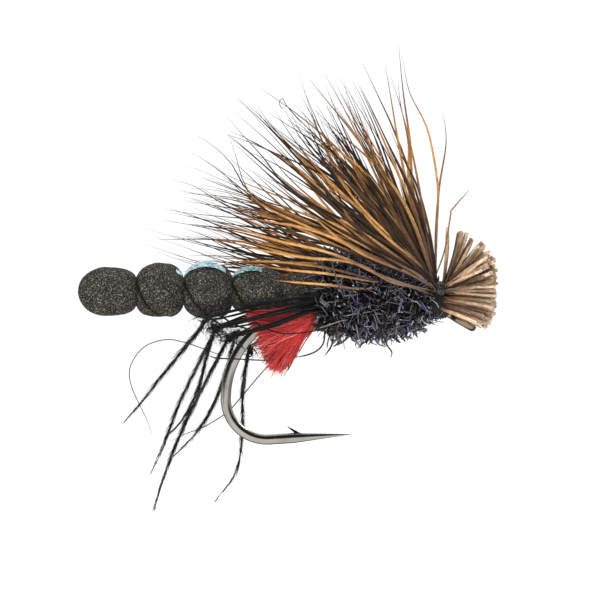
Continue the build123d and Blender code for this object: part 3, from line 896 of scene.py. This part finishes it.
# Hairs that stand clear of the rest: at the front edge, over the thorax and over the foam. Each is
# its radius, its kind, then given points as x, y, z.
CLEAR_HAIRS = (
    (0.1, 0.55, (-2.3, -0.5, 3.4), (-2.4, -0.8, 7.0), (-2.1, -1.0, 11.5), (-1.5, -1.2, 15.5),
     (-1.8, -1.3, 18.4)),
    (0.1, 0.15, (-2.4, -0.4, 3.4), (-2.3, -1.0, 8.0), (-2.2, -1.4, 11.5), (-2.7, -1.8, 14.9),
     (-3.3, -2.0, 17.1), (-4.7, -2.2, 19.9), (-5.3, -2.4, 22.9)),
    (0.12, 0.5, (-2.5, 0.0, 3.3), (-3.2, 0.0, 6.5), (-4.3, -0.2, 10.5), (-4.5, -0.4, 13.5),
     (-4.6, -0.6, 15.6), (-5.2, -0.8, 19.9), (-5.6, -0.9, 24.0)),
    (0.12, 0.3, (-2.5, -0.6, 3.4), (-3.4, -1.2, 7.0), (-4.9, -1.8, 12.0), (-5.7, -2.2, 15.8),
     (-6.2, -2.4, 18.8), (-6.8, -2.6, 22.3)),
    (0.12, 0.25, (-2.4, 0.4, 3.3), (-3.0, 0.8, 7.2), (-4.6, 1.2, 11.6), (-4.7, 1.5, 15.5),
     (-5.4, 1.7, 19.0), (-5.6, 1.8, 21.0)),
    (0.11, 0.8, (-2.5, 0.5, 3.4), (-3.3, 0.9, 8.5), (-4.6, 1.4, 13.0), (-6.1, 1.9, 17.0),
     (-7.3, 2.2, 19.6), (-8.7, 2.5, 22.6)),
    (0.11, 0.9, (-2.4, -0.3, 3.4), (-2.6, -0.6, 6.0), (-3.2, -0.8, 9.0), (-4.1, -1.0, 12.0),
     (-5.4, -1.2, 14.5), (-6.4, -1.3, 16.8)),
    (0.12, 0.1, (-2.6, -1.2, 2.3), (-4.4, -2.4, 3.0), (-6.4, -3.1, 3.5), (-8.6, -3.4, 4.8),
     (-10.6, -3.5, 5.3), (-14.1, -3.4, 5.6), (-17.5, -3.3, 6.2), (-20.4, -3.2, 6.9), (-24.0, -3.0, 7.4)),
    (0.13, 0.0, (-2.7, -1.1, 2.7), (-5.2, -2.6, 3.3), (-7.6, -3.2, 4.2), (-9.8, -3.3, 5.3),
     (-12.4, -3.2, 6.2), (-16.0, -3.0, 7.0), (-20.5, -2.8, 8.4), (-25.0, -2.6, 9.4)),
    (0.12, 0.05, (-7.6, -2.6, 2.9), (-9.6, -2.9, 2.9), (-11.6, -3.0, 3.2), (-14.2, -3.0, 3.4),
     (-16.2, -2.9, 3.6), (-17.9, -2.8, 3.9)),
    (0.12, 0.1, (-7.4, -2.7, 3.4), (-9.6, -3.0, 3.8), (-12.0, -3.1, 4.2), (-14.2, -3.0, 4.4),
     (-16.8, -2.9, 4.7), (-19.4, -2.8, 5.0)),
    (0.12, 0.35, (-7.0, -2.4, 3.4), (-10.6, -2.8, 4.4), (-13.4, -2.8, 4.9), (-16.4, -2.8, 5.2),
     (-19.8, -2.8, 5.2), (-22.4, -2.7, 5.0)),
    (0.12, 0.1, (-2.7, -1.0, 3.0), (-5.4, -2.5, 4.6), (-8.1, -3.3, 5.8), (-10.8, -3.6, 7.1),
     (-14.2, -3.6, 8.2), (-18.0, -3.4, 8.9), (-22.6, -3.2, 10.6)),
    (0.12, 0.0, (-2.6, -0.9, 3.2), (-4.9, -2.2, 4.8), (-7.6, -3.1, 6.5), (-10.2, -3.5, 9.4),
     (-11.0, -3.6, 11.6), (-12.6, -3.5, 13.0)),
    (0.11, 0.88, (-2.5, -0.7, 3.2), (-7.2, -1.6, 5.4), (-14.1, -2.4, 8.6), (-18.3, -2.6, 11.0),
     (-20.0, -2.6, 13.6), (-21.5, -2.6, 15.1), (-23.0, -2.7, 16.1)),
    (0.1, 0.92, (-2.5, -0.7, 3.2), (-8.9, -1.9, 6.2), (-15.8, -2.3, 9.0), (-18.9, -2.4, 11.0),
     (-20.9, -2.4, 13.0), (-22.4, -2.4, 14.0)),
    (0.11, 0.8, (-2.5, -0.6, 3.3), (-10.6, -1.8, 8.4), (-15.0, -2.2, 11.4), (-17.3, -2.3, 14.2),
     (-19.3, -2.4, 16.4), (-20.4, -2.4, 17.7)),
    (0.12, 0.15, (-2.5, -0.6, 3.3), (-5.5, -1.3, 6.2), (-10.6, -2.2, 11.0), (-14.1, -2.6, 14.3),
     (-16.3, -2.7, 16.6), (-17.8, -2.8, 18.6)),
    (0.11, 0.9, (-2.5, -0.8, 3.1), (-10.6, -2.3, 6.3), (-16.7, -2.9, 8.4), (-20.6, -3.0, 10.1),
     (-23.2, -3.0, 11.7), (-25.0, -3.0, 12.2)),
    (0.11, 0.1, (-2.5, -0.7, 3.2), (-8.0, -2.0, 5.7), (-13.2, -2.7, 8.1), (-17.4, -3.0, 10.1),
     (-18.9, -3.0, 11.9), (-19.7, -3.0, 14.5), (-20.2, -3.0, 15.9)),
    (0.13, 0.1, (-2.6, -0.9, 3.0), (-5.6, -2.5, 5.2), (-8.4, -3.3, 7.0), (-11.6, -3.7, 8.6),
     (-15.4, -3.7, 9.9), (-19.0, -3.5, 11.8)),
)

def hair_wing():
    rng = np.random.default_rng(21)
    groups = [wing_bunch(rng, *bunch) for bunch in WING_BUNCHES]
    groups += placed_hairs(rng, CLEAR_HAIRS, 26, lambda kind: np.linspace(0, 1, 26), WING_TAPER)
    obj = strands("hair_wing", groups, wing_paint)
    obj.visible_glossy = False
    settle(obj, "brown_hair", "hair_wing")

def hair_head():
    rng = np.random.default_rng(33)
    # the butts lie in tufts with dark gaps between them
    dense = rng.choice(np.linspace(-33, 45, 15), 165) + rng.normal(0, 1.6, 165)
    upper = [rng.normal(*tuft) for tuft in ((74, 1.1, 5), (67, 0.6, 2), (61.5, 0.7, 3), (49, 1.5, 13))]
    rise = np.concatenate([dense, *upper, [85, 86.5]])
    count = len(rise)
    yaw = np.clip(rng.normal(0, 27, count), -54, 54)
    yaw[len(dense) :] = rng.normal(0, 12, count - len(dense))
    # the lowest butts spring from the side of the thread head, under the collar
    drop = smooth((8 - rise) / 42)
    side = np.where(rng.uniform(0, 1, count) < 0.62, -1.0, 1.0)
    across, up = rng.uniform(-1, 1, (count, 2)).T
    y = 0.5 * across * (1 - drop) + side * 0.85 * drop
    z = 0.36 * up * (1 - drop) - 1.75 * drop
    origin = COLLAR + np.stack([0.12 - 0.1 * drop, y, z], -1)
    yaw = np.where(drop > 0.25, -side * np.abs(yaw) * 0.6, yaw)
    aim = rise * (1 - 0.30 * drop)
    start = fan_dir(aim * 0.9 + 5 * drop, yaw * 0.9, 1)
    end = fan_dir(aim * 1.05 - 4 * drop, yaw * 1.05, 1)
    reach = unit(start + end)
    # trimmed round, and flat in front
    flat = (COLLAR[0] + 4.80 - origin[:, 0]) / np.maximum(reach[:, 0], 0.15)
    off = origin - COLLAR
    dot = (off * reach).sum(1)
    ball = -dot + np.sqrt(np.maximum(dot**2 - (off**2).sum(1) + 5.35**2, 0.1))
    length = np.minimum(ball, flat) * rng.uniform(0.93, 1.02, count)
    rings = 12
    paths = grow(rng, origin, start, end, length, rings, 0.05)
    taper = ((0, 0.1, 0.3, 0.8, 0.97, 1), (0.5, 0.75, 0.95, 1.0, 1.03, 0.96))
    shape = np.interp(np.linspace(0, 1, rings), *taper)
    radii = rng.uniform(0.125, 0.178, count)[:, None] * shape
    kind = np.where(rng.uniform(0, 1, count) < 0.30, rng.uniform(0.6, 1, count), rng.uniform(0, 0.2, count))
    groups = [dict(paths=paths, radii=radii, sides=7, seed=rng.uniform(0, 1, count), kind=kind)]
    settle(strands("hair_head", groups, butt_paint), "clipped_hair", "hair_head")

def hair_waist():
    rng = np.random.default_rng(34)
    low, high = cad("hair_waist")
    count, radius = 60, 0.11
    half = (high - low) / 2 - 0.12
    across, up = on_disc(rng, count).T
    y, z = across * half[1], COLLAR[2] + up * half[2]
    rear, front = (np.stack([np.full(count, x), y, z], -1)[:, None] for x in (low[0], high[0]))
    paths = rear + (front - rear) * np.linspace(0, 1, 5)[:, None]
    groups = [dict(paths=paths, radii=radius, sides=6, seed=rng.uniform(0, 1, count), kind=0.5, along=0.1)]
    settle(strands("hair_waist", groups, wing_paint), "brown_hair", "hair_waist")

wing_paint = hair_material(
    "hair_brown", 0.13, 0.38,
    (
        (0.00, 80, 64, 57), (0.10, 148, 120, 105), (0.24, 166, 130, 104), (0.38, 192, 141, 95),
        (0.50, 242, 185, 114), (0.70, 236, 169, 96), (0.83, 170, 113, 66), (0.91, 74, 55, 43),
        (0.96, 42, 38, 36), (1.00, 48, 46, 45),
    ),
    (
        (0.00, 32, 25, 23), (0.25, 38, 28, 25), (0.45, 80, 49, 31), (0.58, 52, 34, 25),
        (0.72, 28, 24, 23), (1.00, 34, 32, 32),
    ),
)
butt_paint = hair_material(
    "hair_clipped", 0.30, 0.5,
    (
        (0.00, 76, 55, 44), (0.22, 162, 126, 98), (0.55, 234, 196, 160), (0.90, 242, 210, 178),
        (0.985, 244, 220, 190),
    ),
    (
        (0.00, 32, 23, 20), (0.45, 56, 39, 32), (0.80, 104, 78, 60), (0.97, 160, 130, 106),
    ),
)
hair_wing()
hair_head()
hair_waist()

# Thorax ----------------------------------------------------------------------------------------
# The dubbed body's outline at each x: its top, its base and half its width.
THORAX_X = (-12.6, -11.2, -9.4, -7.4, -5.4, -3.9, -2.7)
THORAX_TOP = (4.6, 6.4, 6.1, 4.9, 3.7, 3.1, 2.9)
THORAX_BASE = (-0.2, -1.0, -1.3, -1.2, -1.0, -0.4, 0.4)
THORAX_WIDE = (2.1, 2.8, 3.0, 2.7, 2.2, 1.5, 1.0)
THORAX_MIDDLE_Z = SHANK_Z + 0.55
THORAX_SPAN = (THORAX_X[0], THORAX_X[-1])
FULL_TURN = (0.0, TAU)
TUFT_TAPER = np.array([0.9, 1, 1.05, 1, 1, 0.95, 0.7])

def thorax_point(x, turn, share):
    """A point of the dubbed body's skin, or at that share of the way out to it."""
    top, base, wide = (np.interp(x, THORAX_X, line) for line in (THORAX_TOP, THORAX_BASE, THORAX_WIDE))
    up = np.sin(turn)
    reach = np.where(up > 0, (top - THORAX_MIDDLE_Z) * up, (THORAX_MIDDLE_Z - base) * up)
    y = -np.cos(turn) * wide * share * (1 - 0.25 * np.maximum(up, 0))
    return np.stack([x, y, THORAX_MIDDLE_Z + reach * share], -1)

def thorax_skin():
    """The dark uneven surface under the fibres."""
    rings, sides = 76, 90
    gx, gt = np.meshgrid(np.linspace(THORAX_X[0] + 0.15, THORAX_X[-1], rings), angles(sides), indexing="ij")
    flat = thorax_point(gx, gt, 0.80).reshape(-1, 3)
    lumps = grain(flat, 0.9, 1.0) * 0.14 + grain(flat, 2.6, 2.0) * 0.08 + grain(flat, 6.0, 3.0) * 0.05
    flat = flat + unit((flat - [0, 0, THORAX_MIDDLE_Z]) * [0, 1, 1]) * lumps[:, None]
    paint = mottled(
        "dubbing_under", (5.0, 3.0, 0.6), (0.35, 5, 5, 6), (0.7, 18, 17, 21),
        (9.0, 3.0, 0.7), 0.8, 0.06, Roughness=0.7,
    )
    settle(grid_object("thorax_dubbing", flat.reshape(rings, sides, 3), paint), "thorax_dubbing")

def tufts(rng, count, lengths, size, kinds, share, curl, x_span=THORAX_SPAN, turns=FULL_TURN):
    """Flat fibres that stand out of the body. kinds is a list of kinds and how often each comes."""
    x = rng.uniform(x_span[0] + 0.05, x_span[1] - 0.05, count)
    turn = rng.uniform(*turns, count)
    origin = thorax_point(x, turn, share)
    out = unit(np.stack([rng.normal(0, 0.2, count), -np.cos(turn), np.sin(turn)], -1))
    spin = rng.normal(0, 1, (count, 3)) + [0.0, 0.0, 0.25]
    side = unit(np.cross(out, spin))
    start = unit(out * rng.uniform(0.25, 1.0, count)[:, None] + side * rng.uniform(0.5, 1.3, count)[:, None])
    swing = side * rng.normal(0, 0.9, count)[:, None] - out * rng.uniform(-0.3, 1.0, count)[:, None]
    end = unit(start * (1.2 - curl) + curl * swing + 0.3 * start)
    length = rng.uniform(*lengths, count)
    paths = grow(rng, origin, start, end, length, len(TUFT_TAPER), 0.22 * curl)
    radii = rng.uniform(*size, count)[:, None] * TUFT_TAPER
    kind = rng.choice(kinds[0], count, p=kinds[1])
    seed = rng.uniform(0, 1, count)
    return dict(paths=paths, radii=radii, sides=4, seed=seed, kind=kind, hint=unit(spin), flat=0.40)

def thorax():
    thorax_skin()
    rng = np.random.default_rng(44)
    dark = ((0.04, 0.2, 0.4, 0.6), (0.34, 0.28, 0.24, 0.14))
    grey = ((0.3, 0.45, 0.55, 0.66), (0.34, 0.34, 0.22, 0.10))
    violet = ((0.80, 0.90), (0.55, 0.45))
    bright = ((1.0, 0.97), (0.7, 0.3))
    underside = (math.radians(215), math.radians(325))
    groups = [
        tufts(rng, 1300, (0.8, 1.7), (0.065, 0.105), dark, 0.84, 1.0),
        tufts(rng, 560, (0.8, 1.7), (0.065, 0.105), grey, 0.96, 0.8, (-12.5, -3.2)),
        # straighter flash fibres that catch the light
        tufts(rng, 84, (0.8, 1.6), (0.060, 0.090), violet, 0.99, 0.25),
        # tiny near-white fibres: painted glints, sparkles of light on the dubbing
        tufts(rng, 330, (0.16, 0.44), (0.05, 0.08), bright, 1.0, 0.2),
        # loose ends under the body
        tufts(rng, 70, (0.9, 1.5), (0.045, 0.07), dark, 0.90, 1.1, turns=underside),
    ]
    settle(strands("thorax_fibres", groups, dubbing_paint), "thorax_dubbing", "thorax_chenille")

# the two palest stops are painted glints, worn by the tiny bright fibres
dubbing_paint = fibre_material(
    "dubbing", 0.9, 0.22, (0.0, 12, 12, 14), (0.2, 36, 35, 38), (0.4, 88, 84, 92),
    (0.6, 164, 156, 168), (0.75, 140, 132, 172), (0.88, 100, 94, 188), (0.96, 176, 174, 220),
    (1.0, 250, 250, 254),
)
thorax()

# Tag -------------------------------------------------------------------------------------------
# The cut edge, as x from the rear of the tag's CAD box and z: it runs from the upper rear corner,
# down the back and across the tip.
TAG_EDGE_X = (-0.25, -0.10, 0.80, 1.40, 2.10, 2.90)
TAG_EDGE_Z = (1.15, -0.20, -2.40, -3.65, -4.10, -3.65)

def tag(rng, name, side):
    """A lock of yarn whose fibres fan out from one root to the cut edge."""
    low, high = cad(name)
    root = np.array([high[0] + 0.50, side * 0.45, high[2] - 0.05])
    count = 760
    t = rng.beta(0.95, 0.95, count)
    run = np.linspace(0, 1, len(TAG_EDGE_X))
    out = rng.uniform(0, 1, count)
    edge_x = np.interp(t, run, low[0] + np.array(TAG_EDGE_X))
    tip = np.stack([edge_x, side * (0.15 + 1.15 * out), np.interp(t, run, TAG_EDGE_Z)], -1)
    ragged = np.interp(t, (0, 0.5, 0.8, 1), (0.09, 0.09, 0.22, 0.20))[:, None]
    tip = tip + rng.normal(0, 1, (count, 3)) * [1, 0.6, 1] * ragged
    back = -1.2 * rng.uniform(0, 1, count) * t
    base = root + np.stack([back, side * 0.6 * out * 0.8, rng.uniform(-0.35, 0.25, count)], -1)
    span = tip - base
    length = np.linalg.norm(span, axis=1)
    sag = unit(np.cross(span, [0, 1, 0]))[:, None]
    steps = np.linspace(0, 1, 12)[None, :, None]
    arch = (rng.normal(0.0, 0.05, count) * (1.2 - 0.8 * t) * length)[:, None, None] * np.sin(np.pi * steps)
    paths = base[:, None] + span[:, None] * steps * rng.uniform(0.90, 1.05, count)[:, None, None]
    paths = paths + sag * arch
    belly = side * 0.35 * np.sin(np.pi * steps) * np.array([0, 1, 0])
    wave = np.sin(steps * rng.uniform(6, 16, (count, 1, 1)) + rng.uniform(0, TAU, (count, 1, 1))) * 0.055
    paths = paths + belly + sag * wave
    kind = np.clip(rng.normal(0.42, 0.2, count), 0, 1)
    radii = rng.uniform(0.024, 0.044, count)[:, None] * np.array([1] * 10 + [0.9, 0.6])
    groups = [dict(paths=paths, radii=radii, sides=5, seed=rng.uniform(0, 1, count), kind=kind)]
    # loose wisps past the cut
    few = 60
    at = rng.integers(0, count, few)
    wisp_end = paths[at, -1] + rng.normal(0, 0.15, (few, 3)) + (tip[at] - base[at]) * 0.10
    wisp_base = paths[at, 6]
    wisps = wisp_base[:, None] + (wisp_end - wisp_base)[:, None] * np.linspace(0, 1, 8)[:, None]
    groups.append(dict(paths=wisps, radii=0.013, sides=4, seed=rng.uniform(0.6, 1, few), kind=0.9))
    obj = strands(name, groups, yarn_paint)
    obj.visible_glossy = False
    settle(obj, "red_yarn", name)

yarn_paint = fibre_material(
    "yarn_red", 0.35, 0.55, (0.0, 208, 38, 44), (0.35, 240, 58, 62), (0.6, 250, 84, 82),
    (0.85, 248, 146, 128), (1.0, 250, 176, 158),
)
tag_rng = np.random.default_rng(55)
tag(tag_rng, "red_tag_right", -1)
tag(tag_rng, "red_tag_left", 1)

# Legs ------------------------------------------------------------------------------------------
# Each leg is its number of stems, then the knee and the points of the shin, as shares of its CAD box:
# forwards, outwards and up.
HIP = (0.99, 0.10, 0.985)
LEG_ROUTES = {
    "leg_right_1": (2, (0.49, 0.28, 0.79), (0.42, 0.42, 0.66), (0.28, 0.62, 0.44), (0.12, 0.85, 0.18),
        (0.01, 0.96, 0.01)),
    "leg_right_2": (2, (0.46, 0.2, 0.82), (0.36, 0.38, 0.66), (0.22, 0.6, 0.42), (0.1, 0.82, 0.17),
        (0.01, 0.96, 0.005)),
    "leg_right_3": (3, (0.54, 0.16, 0.83), (0.41, 0.35, 0.66), (0.23, 0.58, 0.42), (0.1, 0.76, 0.2),
        (0.01, 0.95, 0.003)),
    "leg_left_1": (2, (0.39, 0.3, 0.75), (0.32, 0.45, 0.55), (0.26, 0.6, 0.36), (0.16, 0.78, 0.16),
        (0.01, 0.95, 0.01)),
    "leg_left_2": (2, (0.52, 0.24, 0.77), (0.45, 0.4, 0.56), (0.36, 0.58, 0.36), (0.22, 0.74, 0.18),
        (0.01, 0.95, 0.005)),
    "leg_left_3": (2, (0.44, 0.22, 0.78), (0.36, 0.38, 0.58), (0.34, 0.52, 0.36), (0.28, 0.7, 0.17),
        (0.01, 0.95, 0.003)),
}
THIGH_R, COIL_R = 0.125, 0.105
SHIN_TAPER = ((0, 0.1, 0.55, 0.82, 1), (0.078, 0.062, 0.044, 0.018, 0.007))

def read_at(line, index):
    """The points of a line at fractions of its index."""
    return np.stack([np.interp(index, np.arange(len(line)), line[:, k]) for k in range(3)], -1)

def leg(node, seed):
    rng = np.random.default_rng(seed)
    stems, *route = LEG_ROUTES[node]
    low, high = cad(node)
    size = high - low
    side = -1 if low[1] + high[1] < 0 else 1
    points = []
    for forward, outward_share, up in [HIP] + route:
        y = low[1] + size[1] * outward_share if side > 0 else high[1] - size[1] * outward_share
        points.append(np.array([low[0] + size[0] * forward, y, low[2] + size[2] * up]))
    hip, bend = points[:2]
    root = np.array([THORAX_LOW[0] + 0.5, hip[1] * 0.75, hip[2] * 0.92])
    groups = []

    def add(paths, radii, sides, seed, kind, flat=1.0):
        groups.append(dict(paths=paths, radii=radii, sides=sides, seed=seed, kind=kind, flat=flat))

    for k in range(stems):
        off = rng.normal(0, 0.10, 3)
        halfway = (root + bend) / 2 + rng.normal(0, 0.16, 3) + [0, side * 0.25, 0]
        thigh = spline([root + off, halfway, bend + off * 0.6], 16)
        wide = rng.uniform(0.9, 1.15)
        add(thigh[None], THIGH_R * wide * np.linspace(1, 0.85, 16), 6, rng.uniform(0.1, 0.8), 0.08, 0.7)
        down = [bend + off * 0.6]
        down += [p + rng.normal(0, 0.060, 3) * (1 - i / 5) for i, p in enumerate(points[2:])]
        down[-1] = down[-1] + rng.normal(0, 0.05, 3) * (k > 0)
        lower = spline(down, 30)
        stem_r = np.interp(np.linspace(0, 1, 30), *SHIN_TAPER)
        add(lower[None], stem_r * wide, 6, rng.uniform(0.1, 0.8), 0.10, 0.7)
        # short barbules lie along the shin and give it a soft edge
        count = 330
        at = 0.97 * rng.uniform(0.0, 1, count) ** 1.25
        spot = read_at(lower, at * (len(lower) - 1))
        heading = unit(read_at(unit(np.gradient(lower, axis=0)), at * (len(lower) - 1)))
        around = unit(np.cross(heading, rng.normal(0, 1, (count, 3))))
        spread = (rng.uniform(0.10, 0.42, count) * np.interp(at, (0, 0.6, 1), (1, 1, 0.4)))[:, None]
        length = rng.uniform(0.5, 1.8, count) * np.interp(at, (0, 0.1, 0.6, 1), (0.7, 1, 1, 0.3))
        start, end = unit(heading + around * spread), unit(heading + around * spread * 0.4)
        fuzz = grow(rng, spot, start, end, length, 5, 0.08)
        fuzz_r = np.array([1, 1, 0.8, 0.5, 0.2]) * rng.uniform(0.013, 0.025, count)[:, None]
        add(fuzz, fuzz_r, 3, rng.uniform(0, 1, count), rng.uniform(0.05, 0.85, count))
    # the knot that makes the knee
    turn = np.linspace(0, 2.2 * TAU, 40)
    axis = unit(points[2] - bend)
    across = unit(np.cross(axis, [0.3, 1, 0.2]))
    other = np.cross(axis, across)
    coil = bend + across * (np.cos(turn) * 0.22)[:, None] + other * (np.sin(turn) * 0.22)[:, None]
    coil = coil + axis * (np.linspace(-0.18, 0.20, 40) + 0.05 * np.sin(3 * turn))[:, None]
    add(coil[None], COIL_R, 6, 0.4, 0.08)
    # cut ends that stand out of the knot, then fluff round it
    few = 9
    origin = bend + rng.normal(0, 0.15, (few, 3))
    start = unit(rng.normal(0, 1, (few, 3)) + [0.2, 0, 0.1])
    end = unit(rng.normal(0, 1, (few, 3)) + [0.3, 0, -0.3])
    ends = grow(rng, origin, start, end, rng.uniform(0.7, 2.0, few), 8, 0.2)
    add(ends, np.linspace(0.085, 0.035, 8), 5, rng.uniform(0.1, 0.9, few), 0.12)
    many = 110
    origin = bend + rng.normal(0, 0.5, (many, 3)) * [1.0, 0.6, 0.6]
    start = unit(rng.normal(0, 1, (many, 3)))
    end = unit(rng.normal(0, 1, (many, 3)) + [-0.3, 0, -0.6])
    fluff = grow(rng, origin, start, end, rng.uniform(0.5, 1.5, many), 6, 0.3)
    add(fluff, np.linspace(0.018, 0.006, 6), 3, rng.uniform(0, 1, many), rng.uniform(0.3, 0.8, many))
    settle(strands(node, groups, barb_paint), "black_barb", node)

barb_paint = fibre_material(
    "barb_black", 0.35, 0.28, (0.0, 9, 9, 10), (0.2, 17, 17, 18), (0.5, 50, 49, 50),
    (0.8, 118, 114, 110), (1.0, 206, 202, 196),
)
for number, node in enumerate(LEG_ROUTES):
    leg(node, 60 + number)

# Stray hairs -----------------------------------------------------------------------------------
# Each is its radius, its kind, then given points as x, y, z.
STRAY_HAIRS = (
    (0.04, 0.8, (-20.8, -2.9, -2.9), (-22.7, -3.0, -2.2), (-24.2, -3.1, -1.7), (-25.7, -3.1, -1.5),
     (-27.5, -3.2, -2.1), (-28.6, -3.2, -3.5), (-28.8, -3.2, -4.7), (-28.4, -3.2, -6.1),
     (-27.3, -3.1, -8.4), (-26.8, -3.0, -9.8)),
    (0.06, 0.82, (-21.9, -2.4, -2.9), (-21.3, -2.4, -3.1), (-19.3, -2.0, -3.2), (-17.2, -1.4, -3.3),
     (-15.6, -1.0, -3.2)),
    (0.072, 0.82, (-12.3, -1.8, 0.5), (-12.0, -2.0, -0.9), (-12.2, -2.0, -2.0), (-13.1, -1.9, -2.7),
     (-14.7, -1.8, -3.1)),
    (0.05, 0.82, (-15.6, 1.8, -2.6), (-16.9, 1.8, -3.8), (-19.3, 1.4, -6.6), (-20.4, 0.4, -7.8),
     (-22.3, -0.8, -9.0), (-24.1, -1.2, -9.7), (-25.5, -1.4, -10.4)),
    (0.06, 0.93, (-18.2, -2.2, 0.2), (-17.4, -2.4, -0.4), (-16.7, -2.5, -0.7), (-15.4, -2.6, -1.0),
     (-13.1, -2.8, -0.8), (-11.5, -2.9, -0.3)),
    (0.08, 0.79, (-10.9, -2.9, -0.2), (-11.2, -3.0, -0.8), (-11.4, -3.0, -2.0), (-12.0, -3.0, -2.9)),
    (0.075, 0.88, (-6.2, -2.9, 0.5), (-6.7, -3.0, 0.0), (-7.9, -3.1, -1.1), (-9.2, -3.1, -2.3)),
    (0.07, 0.88, (-7.6, -1.8, -0.6), (-7.0, -2.0, -1.2), (-6.6, -2.0, -2.0), (-6.2, -2.0, -2.6),
     (-6.3, -2.0, -3.1)),
    (0.065, 0.75, (-2.3, -0.8, 4.2), (-1.6, -1.0, 6.3), (-1.1, -1.1, 9.3), (-1.0, -1.1, 9.7),
     (0.5, -1.2, 11.4)),
    (0.055, 0.92, (-20.6, -1.6, 4.75), (-19.9, -1.6, 4.75), (-19.2, -1.6, 4.72)),
    (0.03, 0.9, (-14.0, -1.0, 17.2), (-15.2, -1.0, 18.6), (-15.6, -1.0, 19.3), (-15.9, -1.1, 19.0),
     (-15.7, -1.2, 18.5), (-15.2, -1.1, 18.7)),
)
# Smooth strands of another kind: they look like the barbs.
STRAY_BARBS = (
    (0.07, 0.62, (-11.4, -3.4, 5.4), (-11.2, -3.5, 4.4), (-10.8, -3.5, 3.2), (-10.3, -3.4, 2.0)),
    # a pale strand along the end of a dark stray hair: painted highlight on it
    (0.05, 0.86, (-12.4, -2.9, -0.5), (-11.5, -3.0, -0.2), (-10.6, -3.2, 0.1), (-10.0, -3.2, 0.2)),
    (0.11, 0.04, (-11.9, -2.2, 2.0), (-14.5, -2.5, 1.6), (-17.4, -2.6, 1.2), (-20.2, -2.6, 0.5),
     (-22.0, -2.6, 0.2)),
    (0.12, 0.05, (-12.0, -2.1, 1.4), (-15.0, -2.5, 0.9), (-18.0, -2.6, 0.3), (-20.4, -2.6, -0.2),
     (-21.4, -2.6, -0.9)),
    (0.1, 0.04, (-12.0, -2.3, 2.4), (-14.6, -2.6, 2.1), (-17.0, -2.7, 1.8), (-19.2, -2.7, 1.5)),
    (0.085, 0.1, (-17.8, -2.2, 0.0), (-19.0, -2.5, -0.3), (-20.4, -2.6, -0.4), (-21.6, -2.6, 0.2),
     (-22.3, -2.5, 0.9)),
    (0.085, 0.1, (-18.6, -2.2, -0.6), (-19.8, -2.5, -0.2), (-20.8, -2.6, 0.5), (-21.4, -2.6, 1.2)),
)
# A stray is one even colour: brown, or near-black when its kind is high.
DARK_KIND = 0.78

def strays():
    def one_colour(kind):
        return 0.45 if kind < DARK_KIND else 0.86

    rng = np.random.default_rng(77)
    for name, routes, rings, paint, slot in (
        ("stray_hairs", STRAY_HAIRS, 34, wing_paint, "brown_hair"),
        ("stray_barbs", STRAY_BARBS, 24, barb_paint, "black_barb"),
    ):
        groups = placed_hairs(rng, routes, rings, one_colour, STRAY_TAPER)
        settle(strands(name, groups, paint), slot)

strays()
